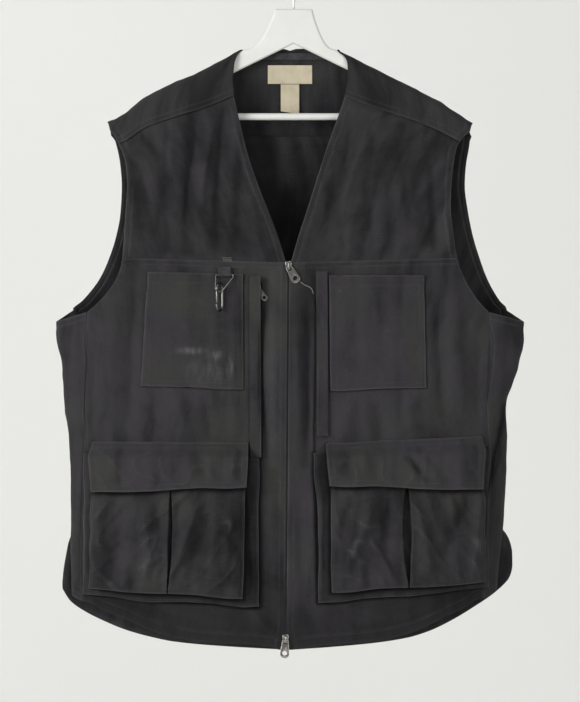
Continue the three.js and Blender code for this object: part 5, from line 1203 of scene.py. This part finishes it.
chestScuffs = {
    "right": [(191, 351, 24, 6, 0.8), (216, 356, 14, 8, 0.75), (230, 368, 6, 18, 0.8),
              (206, 374, 40, 26, 0.5), (196, 302, 34, 7, 0.26)],
    "left": [(340, 291, 2, 2, 1.3), (392, 330, 26, 8, 0.3), (360, 350, 30, 24, 0.18)],
}
for side in bothSides:
    p = pocketSizes
    panels[f"chest_pocket_{side}"] = clothPanel(
        f"chest_pocket_{side}", frontSurface, placed("chest_pocket", side), p["chest_pocket"],
        {"start": "topstitch", "end": "topstitch", "foot": "topstitch", "head": "hemWide"}, towardsViewer,
        [canvasPocket, canvasInside], lift=vest["cloth"] + p["flatGap"], coarse=3.0, crumple=0.55,
        scuffs=chestScuffs[side])
    stripUp = p["stripLift"] if side == "right" else p["stripLift"] / 2
    stripWidth, stripLength = p["zip_strip"]
    panels[f"zip_strip_{side}"] = clothPanel(
        f"zip_strip_{side}", frontSurface, placed("zip_strip", side),
        (stripWidth, stripLength * places["zip_strip"][side][6]),
        {"start": "one"}, towardsViewer, [canvasPocket, canvasInside],
        lift=lambda u, v, up=stripUp: (vest["cloth"] + p["flatGap"] + 1.3
                                       + up * (1 - u) ** 1.6 * (0.75 + 0.25 * np.sin(v * 9))),
        coarse=3.0, crumple=0.55)
    panels[f"base_pocket_{side}"] = bellows(
        f"base_pocket_{side}", placed("base_pocket", side), p["base_pocket"], onCloth,
        pocketDepth(p["baseDepth"], 0.6), 0.5, p["baseTuck"])
    panels[f"cargo_pocket_{side}"] = bellows(
        f"cargo_pocket_{side}", placed("cargo_pocket", side), p["cargo_pocket"],
        onCloth + p["baseDepth"] + p["flatGap"],
        pocketDepth(p["cargoDepth"] * 0.9, 0.5), 2.1, p["cargoTuck"], coarse=2.4)
    run = p["flapSlope"] / p["pocket_flap"][1]
    over = p["baseDepth"] + p["layerGap"] + p["cargoDepth"] * 0.72
    panels[f"pocket_flap_{side}"] = clothPanel(
        f"pocket_flap_{side}", frontSurface, placed("pocket_flap", side), p["pocket_flap"],
        {"start": "topstitch", "end": "topstitch", "foot": "topstitch", "head": "lap"}, towardsViewer,
        [canvasFlap, canvasInside],
        lift=lambda u, v: (onCloth + vest["cloth"] / 2 + over * smooth((1 - v) / (run * 1.7))
                           + 2.2 * (1 - v) ** 2 * (1 + noiseField(u * 4.3, v * 0.6, 9))),
        coarse=2.6, crumple=1.5)
print("pockets and flaps sewn")

byPiece = {}
for name, line in stitchPaths:
    byPiece.setdefault(name, []).append(line)
for name, lines in byPiece.items():
    stitchMesh(f"stitches_{name}", lines, sewingThread)
print("stitches laid:", len(stitchPaths), "rows")


def wireMesh(name, path, radius, material, body, sides=16, closed=False, matrix=None, replaces=None):
    path = np.array(path, float)
    count = len(path)
    if closed:
        tangent = np.roll(path, -1, 0) - np.roll(path, 1, 0)
    else:
        tangent = np.gradient(path, axis=0)
    tangent /= np.linalg.norm(tangent, axis=1, keepdims=True)
    flat = np.zeros(3)
    for k in range(1, count - 1):
        bend = np.cross(path[k] - path[k - 1], path[k + 1] - path[k])
        if np.linalg.norm(bend) > np.linalg.norm(flat):
            flat = bend
    flat = flat / np.linalg.norm(flat) if np.linalg.norm(flat) > 1e-9 else np.array([0, 1.0, 0])
    out = np.cross(tangent, flat)
    out /= np.linalg.norm(out, axis=1, keepdims=True)
    rings = [(path[k], radius, out[k]) for k in range(count)]
    if not closed:  # rounded ends
        caps = [(0.0, 1.0), (0.5, 0.87), (0.87, 0.5), (0.985, 0.17)]
        rings = ([(path[0] - tangent[0] * radius * s, radius * c, out[0]) for s, c in reversed(caps[1:])] + rings
                 + [(path[-1] + tangent[-1] * radius * s, radius * c, out[-1]) for s, c in caps[1:]])
    angles = np.linspace(0, 2 * math.pi, sides, endpoint=False)
    verts = [centre + r * (math.cos(t) * side + math.sin(t) * flat) for centre, r, side in rings for t in angles]
    total = len(rings)
    faces = []
    for k in range(total if closed else total - 1):
        for j in range(sides):
            a, b = k * sides, (k + 1) % total * sides
            faces.append((a + j, b + j, b + (j + 1) % sides, a + (j + 1) % sides))
    if not closed:
        faces += [tuple(range(sides)), tuple(range((total - 1) * sides, total * sides))[::-1]]
    verts = np.array(verts)
    if matrix is not None:
        verts = np.array([matrix @ Vector(v) for v in verts])
    obj = meshObject(name, verts, faces, material, body)
    turnOutward(obj)
    if replaces:
        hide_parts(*replaces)
    return obj


def arc(cx, cz, radius, start, end, count):
    return [(cx + radius * math.cos(math.radians(a)), 0.0, cz + radius * math.sin(math.radians(a)))
            for a in np.linspace(start, end, count)]


def plateMesh(name, outline, holes, thickness, edge, material, body, matrix, replaces=None, bevels=2):
    curve = bpy.data.curves.new(name, "CURVE")
    curve.dimensions, curve.fill_mode = "2D", "BOTH"
    curve.extrude, curve.bevel_depth, curve.bevel_resolution, curve.offset = thickness / 2 - edge, edge, bevels, -edge
    for ring in [outline] + list(holes):
        spline = curve.splines.new("POLY")
        spline.points.add(len(ring) - 1)
        for point, (x, z) in zip(spline.points, ring):
            point.co = (x, z, 0, 1)
        spline.use_cyclic_u = True
    shape = bpy.data.objects.new(name, curve)
    bpy.context.scene.collection.objects.link(shape)
    depsgraph = bpy.context.evaluated_depsgraph_get()
    flat = bpy.data.meshes.new_from_object(shape.evaluated_get(depsgraph))
    bpy.data.objects.remove(shape)
    turn = Matrix.Rotation(math.pi / 2, 4, "X")
    verts = np.array([matrix @ (turn @ v.co) for v in flat.vertices])
    faces = [tuple(f.vertices) for f in flat.polygons]
    obj = meshObject(name, verts, faces, material, body, shade=False)
    turnOutward(obj, 1e-7)
    obj.data.shade_smooth()
    obj.data.set_sharp_from_angle(angle=math.radians(35))
    if replaces:
        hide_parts(*replaces)
    return obj


hardware = {
    "sliderWidth": 8, "sliderLength": 11, "sliderPlate": 1.8,
    "bridgeRise": 4.2, "bridgeBar": 1.1, "bridgeLength": 8.4,
    "pullLength": 26, "pullTop": 8, "pullFoot": 12.5, "pullThickness": 1.5,
    "pullWindow": 5.2, "pullRail": 1.35, "pullEye": 3.1,
    "pocketScale": 0.72, "topLean": 30, "bottomLean": -4, "pocketLean": 34,
}


def millimetres(corner):
    return [c * 1000 for c in corner]


def jointPlace(name):
    joint = next(j for j in frame["joints"] if j["name"] == name)
    return Vector(millimetres(joint["pos_m"]))


def pullPlate(name, joint, size, lean, material):
    h = hardware
    top, foot, bar = h["pullTop"] * size / 2, h["pullFoot"] * size / 2, 0.9 * size
    low = bar - h["pullLength"] * size
    outline = [(-top + 0.8, bar), (-top, bar - 0.8), (-foot * 0.99, low + foot * 0.9)]
    outline += [(foot * math.cos(math.radians(a)), low + foot + foot * math.sin(math.radians(a)))
                for a in range(195, 346, 10)]
    outline += [(foot * 0.99, low + foot * 0.9), (top, bar - 0.8), (top - 0.8, bar)]
    slotHalf, slotFoot, eyeRadius = top - h["pullRail"] * size, -bar - h["pullWindow"] * size, h["pullEye"] * size
    window = [(-slotHalf, -bar), (slotHalf, -bar), (slotHalf, slotFoot), (-slotHalf, slotFoot)]
    eye = [(eyeRadius * math.cos(math.radians(a)), low + foot * 1.08 + eyeRadius * math.sin(math.radians(a)))
           for a in range(0, 360, 15)]
    matrix = Matrix.Translation(jointPlace(joint)) @ Matrix.Rotation(-math.radians(lean), 4, "Y")
    plateMesh(name + "_plate", outline, [window, eye], h["pullThickness"] * size, 0.32 * size,
              material, name, matrix, [name])


def sliderBody(name, size, through, material):
    h = hardware
    low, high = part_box(name)
    low, high = millimetres(low), millimetres(high)
    x, z = (low[0] + high[0]) / 2, (low[2] + high[2]) / 2
    front = low[1] + h["bridgeRise"] * size  # the front plate's face
    width, length, plate = h["sliderWidth"] * size, h["sliderLength"] * size, h["sliderPlate"] * size
    at = Matrix.Translation((x, front + plate / 2, z))
    body = [(-width / 2 + 0.8, length / 2), (-width / 2, length / 2 - 0.8), (-width / 2, length * 0.02),
            (-width * 0.35, -length * 0.12), (-width * 0.35, -length / 2 + 0.6), (-width * 0.35 + 0.6, -length / 2)]
    outline = body + [(-a, b) for a, b in reversed(body)]
    plateMesh(name + "_front", outline, [], plate, 0.45 * size, material, "vest", at, [name])
    rise, bar, long = h["bridgeRise"] * size, h["bridgeBar"] * size, h["bridgeLength"] * size
    r = bar * 0.62
    path = [(0, plate / 2 + 0.2, long / 2 - r), (0, -rise * 0.55, long / 2 - r),
            (0, -rise + r * 1.6, long / 2 - r * 1.5), (0, -rise + r, long / 2 - r * 3)]
    path = path + [(a, b, -c) for a, b, c in reversed(path)]
    wireMesh(name + "_bridge", path, r, material, "vest", 12, matrix=Matrix.Translation((x, front, z)))
    if through:
        rear = Matrix.Translation((x, front + plate + through + plate * 0.4, z))
        smaller = [(a * 0.8, b * 0.9) for a, b in outline]
        plateMesh(name + "_rear", smaller, [], plate * 0.8, 0.3, material, "vest", rear)
        neck = [(-0.8, length * 0.4), (-0.8, -length * 0.4), (0.8, -length * 0.4), (0.8, length * 0.4)]
        post = Matrix.Translation((x, front + plate + through / 2, z))
        plateMesh(name + "_neck", neck, [], through + 0.4, 0.15, material, "vest", post)


through = vest["cloth"] + 0.8
sliderBody("top_slider", 1, through, nickel)
sliderBody("bottom_slider", 1, through, nickel)
sliderBody("pocket_slider", hardware["pocketScale"], 0, pocketSteel)
pullPlate("top_pull", "top_pull_swing", 1, hardware["topLean"], nickel)
pullPlate("bottom_pull", "bottom_pull_swing", 1, hardware["bottomLean"], nickel)
pullPlate("pocket_pull", "pocket_pull_swing", hardware["pocketScale"], hardware["pocketLean"],
          pocketSteel)

clip = {"ringWire": 2.2, "ringTop": 24, "ringDrop": 24, "ringFoot": 5.4, "ringTilt": 20, "footShift": -6.5,
        "length": 40, "width": 17, "wire": 3, "turn": 58, "play": 0.5, "gate": 17,
        "tabThickness": 1.3, "tabTail": 9, "tabWidth": 17.5}
low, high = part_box("ring_tab")
low, high = millimetres(low), millimetres(high)
loopOuter = clip["ringWire"] / 2 + 0.5 + clip["tabThickness"]
ringPlace = Vector(((low[0] + high[0]) / 2, (low[1] + high[1]) / 2, low[2] + loopOuter))
topHalf = clip["ringTop"] / 2
ringPath = (arc(-topHalf + 2.4, -2.4, 2.4, 180, 90, 7) + arc(topHalf - 2.4, -2.4, 2.4, 90, -20, 8)
            + arc(clip["footShift"], clip["ringFoot"] - clip["ringDrop"], clip["ringFoot"], -35, -175, 12))
wireMesh("tab_ring_wire", ringPath, clip["ringWire"] / 2, clipSteel, "vest", 16, True,
         Matrix.Translation(ringPlace) @ Matrix.Rotation(-math.radians(clip["ringTilt"]), 4, "X"), ["tab_ring"])
gatePlace = jointPlace("clip_gate_swing")
bow = clip["width"] / 2 - clip["wire"] / 2
long = clip["length"] - clip["wire"]
gateTop = -bow - (long - 2 * bow - clip["gate"]) / 2
gateFoot = gateTop - clip["gate"]
turn = Matrix.Rotation(math.radians(clip["turn"]), 4, "Z")
clipPlace = gatePlace - (turn @ Vector((-bow, 0, gateFoot)))
clipPath = ([(-bow, 0, gateFoot - clip["play"] - clip["wire"] / 2)] + arc(0, bow - long, bow, 180, 360, 16)
            + arc(0, -bow, bow, 0, 180, 16) + [(-bow, 0, gateTop + clip["play"] + clip["wire"] / 2)])
wireMesh("clip_body_wire", clipPath, clip["wire"] / 2, clipSteel, "vest", 18, False,
         Matrix.Translation(clipPlace) @ turn, ["clip_body"])
gateRadius = clip["wire"] * 0.42
gatePath = [(0, 0, gateRadius), (0.001, 0, clip["gate"] / 2), (0, 0, clip["gate"] - gateRadius)]
wireMesh("clip_gate_rod", gatePath, gateRadius, clipSteel, "clip_gate", 16, False,
         Matrix.Translation(gatePlace) @ turn, ["clip_gate"])


def webbingTab():  # a doubled strip with the ring's bar in its fold
    inner, thick, width = clip["ringWire"] / 2 + 0.5, clip["tabThickness"], clip["tabWidth"]
    bend = inner + thick / 2
    path = [(-bend, loopOuter * 0.6 + clip["tabTail"])] + [(-bend, k) for k in np.linspace(8, 1, 8)]
    path += [(bend * math.cos(math.radians(a)), bend * math.sin(math.radians(a))) for a in range(180, 401, 15)]
    path += [(-0.2 + 0.4 * math.cos(k), loopOuter * 0.6 + k) for k in np.linspace(0.6, clip["tabTail"], 8)]
    path = np.array(path)
    tangent = np.gradient(path, axis=0)
    tangent /= np.linalg.norm(tangent, axis=1, keepdims=True)
    across = np.stack([-tangent[:, 1], tangent[:, 0]], -1)
    xs = np.linspace(-width / 2, width / 2, 13)
    verts, uv = [], []
    walked = np.concatenate([[0], np.cumsum(np.linalg.norm(np.diff(path, axis=0), axis=1))])
    for offset in (thick / 2 - 0.05, -thick / 2 + 0.05):
        for k in range(len(path)):
            for i, x in enumerate(xs):
                edge = 0.25 * (i in (0, len(xs) - 1)) * np.sign(offset)
                y, z = path[k] + across[k] * (offset - edge)
                verts.append((ringPlace.x + x, ringPlace.y - y, ringPlace.z + z))
                uv.append((x, walked[k]))
    rows, cols = len(path), len(xs)
    a = np.arange(rows * cols).reshape(rows, cols)
    b = a + rows * cols
    faces = np.concatenate([quads(a), quads(b, True)] + list(rimQuads(a, b))).tolist()
    obj = meshObject("ring_tab_webbing", np.array(verts), faces, webbingWeave, "vest", uv=np.array(uv))
    turnOutward(obj)
    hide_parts("ring_tab")


webbingTab()


def onFront(places, lift):
    xs, zs = np.array([px(a) for a, b in places]), np.array([py(b) for a, b in places])
    made = frontSurface(xs, zs)
    made[:, 0] += vest["shift"]
    made[:, 1] -= lift
    return made


strand = onFront([(300.4, 281.8), (302.5, 283.6), (305.2, 285.2), (308.4, 286.4),
                  (311.2, 288.2), (312.6, 290.6), (313.2, 293.6)], 3.0)
strand[:, 1] -= np.array([2.4, 1.0, 0.2, 0.8, 1.2, 0.5, 0.0])
wireMesh("loose_thread", strand, 0.3, paleThread, "vest", 6)
tack = {"pitch": 1.5, "length": 1.3, "width": 0.8, "height": 0.4}
rowsOfTack = []
for k, height in enumerate((257.6, 259.2, 260.8)):
    line = onFront([(220.6 + k * 0.5 + 1.5 * j, height + 0.35 * (-1) ** j) for j in range(9)], 1.9)
    line[:, 0] -= vest["shift"]
    rowsOfTack.append(np.concatenate([line, np.tile([0.0, -1.0, 0.0], (len(line), 1))], 1))
stitchMesh("worn_tack", rowsOfTack, paleThread, tack)
print("hardware made")

frontZip = {
    "tapeWidth": 13, "tapeThickness": 0.8, "chainWidth": 5.6, "chainThickness": 2.2,
    "behind": 0.6, "toothPitch": 2.1, "toothReach": 5.2, "pocketPitch": 1.7, "pocketReach": 3.6,
}
zipTop, zipFoot = millimetres(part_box("zip_chain")[1])[2], millimetres(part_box("zip_chain")[0])[2]
behind = vest["cloth"] / 2 + frontZip["behind"]
for side in bothSides:
    near = sign(side) * (frontZip["chainWidth"] / 2 - 1.2)
    widths = sign(side) * frontZip["tapeWidth"]
    panels[f"zip_tape_{side}"] = clothPanel(
        f"zip_tape_{side}", frontSurface,
        lambda u, v, near=near, widths=widths: (zipX(mix(zipFoot, zipTop, v)) + near + widths * u,
                                                mix(zipFoot, zipTop, v)),
        (12, zipTop - zipFoot), {"start": "plain", "end": "plain"}, towardsViewer, [tapeWeave],
        lift=-behind - frontZip["tapeThickness"] / 2 - 0.7, thickness=frontZip["tapeThickness"],
        coarse=4, crumple=0)


def teeth(name, centre, low, high, liftUp, width, pitch):
    zs = np.arange(low + 1, high - 1, pitch / 2)
    xs = centre(zs)
    points = frontSurface(xs, zs)
    verts, faces = [], []
    for k, point in enumerate(points):
        side = 1 if k % 2 else -1
        c = point + np.array([vest["shift"] + side * width * 0.13, liftUp, 0])
        w, d, h = width * 0.34, frontZip["chainThickness"] * 0.42 * width / 5.6, pitch * 0.22
        first = len(verts)
        for dx, dz in ((-w, -h), (w, -h * 0.7), (w, h * 0.7), (-w, h)):
            verts += [c + (dx, -d * 0.75, dz), c + (dx, d, dz)]
        for a, b in ((0, 2), (2, 4), (4, 6), (6, 0)):
            faces.append((first + a, first + b, first + b + 1, first + a + 1))
        faces += [(first, first + 6, first + 4, first + 2), (first + 1, first + 3, first + 5, first + 7)]
    obj = meshObject(name, np.array(verts), faces, darkMetal, "vest", shade=False)
    turnOutward(obj)
    return obj


chain = teeth("zip_teeth", zipX, zipFoot, zipTop, behind + frontZip["chainThickness"] / 2,
              frontZip["toothReach"], frontZip["toothPitch"])
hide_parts("zip_chain")
pocketPatch = placed("zip_strip", "right")
pocketLow, pocketHigh = millimetres(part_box("pocket_zip")[0])[2], millimetres(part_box("pocket_zip")[1])[2]
stripFoot, stripLength = pocketPatch(0.0, 0.0)[1], pocketSizes["zip_strip"][1]
pocketChain = teeth("pocket_zip_teeth", lambda z: pocketPatch(0.0, (z - stripFoot) / stripLength)[0] - 2.6,
                    pocketLow, pocketHigh, -(vest["cloth"] / 2 + 1.1), frontZip["pocketReach"], frontZip["pocketPitch"])
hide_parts("pocket_zip")


def insidePatch(width, top, height, slant=0.0):
    return lambda u, v: ((u - 0.5) * width, neckZ - top - height * (1 - v) - slant * u * (1 - v))


def insideLift(thickness, gap):
    return -(vest["cloth"] / 2 + gap + thickness / 2)


labels = {"width": 60, "height": 25, "top": 20, "careWidth": 25, "careHeight": 36, "thickness": 0.9,
          "careThickness": 0.5, "careSlant": 4.0, "turned": 6}
panels["neck_label"] = clothPanel(
    "neck_label", backSurface, insidePatch(labels["width"], labels["top"], labels["height"]),
    (labels["width"], labels["height"] + labels["turned"]), {"start": "plain", "end": "plain"},
    towardsWall, [labelWeave], lift=insideLift(labels["thickness"], 0.7), thickness=labels["thickness"],
    coarse=2, crumple=0.25)
careTop = labels["top"] + labels["height"] + 0.6
panels["care_label"] = clothPanel(
    "care_label", backSurface,
    insidePatch(labels["careWidth"], careTop, labels["careHeight"], labels["careSlant"]),
    (30, labels["careHeight"]), {}, towardsWall, [carePaper],
    lift=lambda u, v: (insideLift(labels["thickness"], 0.6) - 3 * (1 - v) ** 1.5
                       - 0.8 * np.sin(u * 3.1) * (1 - v)),
    thickness=labels["careThickness"], coarse=2, crumple=0.2)
panels["neck_tape"] = clothPanel(
    "neck_tape", backSurface, insidePatch(100, 3.5, 9), (100, 26), {}, towardsWall, [webbingWeave],
    lift=insideLift(0.8, 0.9), thickness=0.8, coarse=4, crumple=0)
print("zip and labels made")

hanger = {
    "width": 400, "thickness": 10.5, "round": 3.6, "clearance": 1.3, "neckWood": 25,
    "underApex": 46.5, "underSlope": 0.49, "barDrop": 145, "barDiameter": 9.5, "barSocket": 14,
    "hookRadius": 17, "hookWire": 3.6, "hookFrom": -68, "hookTo": 172,
}


def hangerWood():
    h = hanger
    tipX, barZ = h["width"] / 2, -(vest["hookRise"] + h["barDrop"])
    barHalf, barUnder = tipX - h["barSocket"], barZ - h["barDiameter"] / 2
    apexZ = -(vest["hookRise"] + h["underApex"])

    def woodTop(x):
        return float(ridge(np.array(x - vest["shift"]))) - vest["cloth"] / 2 - h["clearance"]

    def outline(s):
        meet = neckHalf * vest["ridgeStart"] + s * vest["shift"] - 6
        line = []
        for t in np.linspace(0, 1, 22):
            rise = (1 - t) ** 2.1
            line.append((s * mix(h["neckWood"], meet, t), mix(woodTop(s * meet), -vest["hookRise"], rise)))
        for x in np.linspace(meet, tipX - 6, 40)[1:]:
            line.append((s * x, woodTop(s * x)))
        top = woodTop(s * tipX)
        end = [(tipX - 2.6, top - 3), (tipX - 0.8, top - 7), (tipX, top - 12), (tipX, barZ - 2),
               (tipX - 1.2, barZ - 5), (tipX - 4, barUnder - 2.3), (barHalf + 4, barUnder - 2.5),
               (barHalf + 1.2, barZ - 3.9), (barHalf + 0.3, barZ - 1),
               (barHalf + 0.3, apexZ - h["underSlope"] * barHalf)]
        return line + [(s * x, z) for x, z in end]
    shape = outline(-1)[::-1] + outline(1) + [(0, apexZ)]
    plateMesh("hanger_wood_board", shape, [], h["thickness"], h["round"], whiteWood, "vest",
              Matrix.Identity(4), ["hanger_wood"], bevels=5)


hangerWood()
h = hanger
barZ, barHalf = -(vest["hookRise"] + h["barDrop"]), h["width"] / 2 - h["barSocket"]
barPath = [(x, 0, barZ + 0.0002 * abs(x)) for x in np.linspace(-barHalf + 5, barHalf - 5, 21)]
wireMesh("hanger_bar_rod", barPath, h["barDiameter"] / 2 - 0.05, whiteWood, "vest", 24,
         replaces=["hanger_bar"])
hookBow = h["hookRadius"] + h["hookWire"] / 2
bowFoot = -h["hookRadius"] - hookBow
hookPath = ([(0, 0, -vest["hookRise"] + 2.2), (0, 0, bowFoot - 10), (0.1, 0, bowFoot - 5),
             (0.8, 0, bowFoot - 1.5), (3.2, 0, bowFoot + 0.6)]
            + arc(0, -h["hookRadius"], hookBow, h["hookFrom"], h["hookTo"], 40))
wireMesh("hanger_hook_wire", hookPath, h["hookWire"] / 2, hookSteel, "vest", 20,
         replaces=["hanger_hook"])
print("hanger made")

for panel in panels.values():  # each panel's flat size, longer where folds take up cloth, is worked out but not used
    width, length = (value * 0.001 for value in panel["size"])
    area = panel["area"]
    if area > width * length:
        length = area / width * 1.01
    max(area, 0.31 * width * length)

studio = {
    "distance": 7.0, "pixel": 0.00134, "centre": (-0.005, -0.045, -0.521), "rowsOfPixels": 702, "sensor": 24,
    "wall": 1.15, "wallTop": 3.0, "floor": -1.6, "cove": 0.35, "floorFront": -9.0, "halfWidth": 6.0,
    "wallColour": (0.775, 0.778, 0.752, 1), "wallPatches": (0.77, 0.77, 0.74, 1),
    "air": 0.17, "airColour": (1.0, 0.995, 0.98, 1),
    "lamps": {  # power, size, place, target
        "keyLight": (268, 2.8, (-4.3, -3.5, 0.7), (0, 0, -0.5)),
        "fillLight": (104, 3.0, (3.8, -4.3, -1.0), (0.3, 0, -0.5)),
        "topLight": (44, 2.4, (1.2, -3.2, 2.6), (0, 0, -0.4)),
    },
}


def studioSet():
    s = studio
    camera = bpy.data.cameras.new("studioCamera")
    camera.sensor_fit, camera.sensor_height = "VERTICAL", s["sensor"]
    camera.lens = s["sensor"] * s["distance"] / (s["rowsOfPixels"] * s["pixel"])
    camera.clip_start = 0.05
    view = bpy.data.objects.new("studioCamera", camera)
    x, y, z = s["centre"]
    view.location = (x, y - s["distance"], z)
    view.rotation_euler = (math.pi / 2, 0, 0)
    bpy.context.scene.collection.objects.link(view)
    bpy.context.scene.camera = view
    f = Finish("wallPaint")
    place = f.node("ShaderNodeTexCoord", None, None, 3)
    f.set(Base_Color=f.blendColours(f.noise(place, 2.0, 2.0) * 0.4, s["wallColour"], s["wallPatches"]),
          Roughness=0.7, Normal=f.bump(f.noise(place, 260, 3.0, 0.6), 0.0003, 0.25))
    # The wall is clear from behind, so that the vest's back can be looked at.
    fromBehind = f.node("ShaderNodeNewGeometry", None, None, 6)
    oneSided = f.node("ShaderNodeMixShader", None, {
        0: fromBehind, 1: Wire(f, f.surface.outputs[0]), 2: f.node("ShaderNodeBsdfTransparent")})
    f.tree.links.new(oneSided.socket, f.end.inputs[0])
    bend, wallFoot = s["cove"], s["floor"] + s["cove"]
    profile = [(s["wall"], s["wallTop"]), (s["wall"], wallFoot)]
    profile += [(s["wall"] - bend * (1 - math.cos(a)), wallFoot - bend * math.sin(a))
                for a in np.linspace(0.15, math.pi / 2, 12)]
    profile += [(s["floorFront"], s["floor"])]
    verts = [(x, y, z) for y, z in profile for x in (-s["halfWidth"], s["halfWidth"])]
    faces = [(2 * k + 2, 2 * k + 3, 2 * k + 1, 2 * k) for k in range(len(profile) - 1)]
    mesh = bpy.data.meshes.new("backdrop")
    mesh.from_pydata(verts, [], faces)
    mesh.materials.append(f.material)
    mesh.shade_smooth()
    wall = bpy.data.objects.new("backdrop", mesh)
    bpy.context.scene.collection.objects.link(wall)
    for name, (power, size, location, target) in s["lamps"].items():
        lamp = bpy.data.lights.new(name, "AREA")
        lamp.energy, lamp.size, lamp.shape = power, size, "SQUARE"
        light = bpy.data.objects.new(name, lamp)
        light.location = location
        light.rotation_euler = (Vector(target) - Vector(location)).to_track_quat("-Z", "Y").to_euler()
        bpy.context.scene.collection.objects.link(light)
    world = bpy.data.worlds.new("studioAir")
    world.use_nodes = True
    world.node_tree.nodes["Background"].inputs[0].default_value = s["airColour"]
    world.node_tree.nodes["Background"].inputs[1].default_value = s["air"]
    bpy.context.scene.world = world
    bpy.context.scene.view_settings.view_transform = "Standard"


studioSet()
print("studio ready")
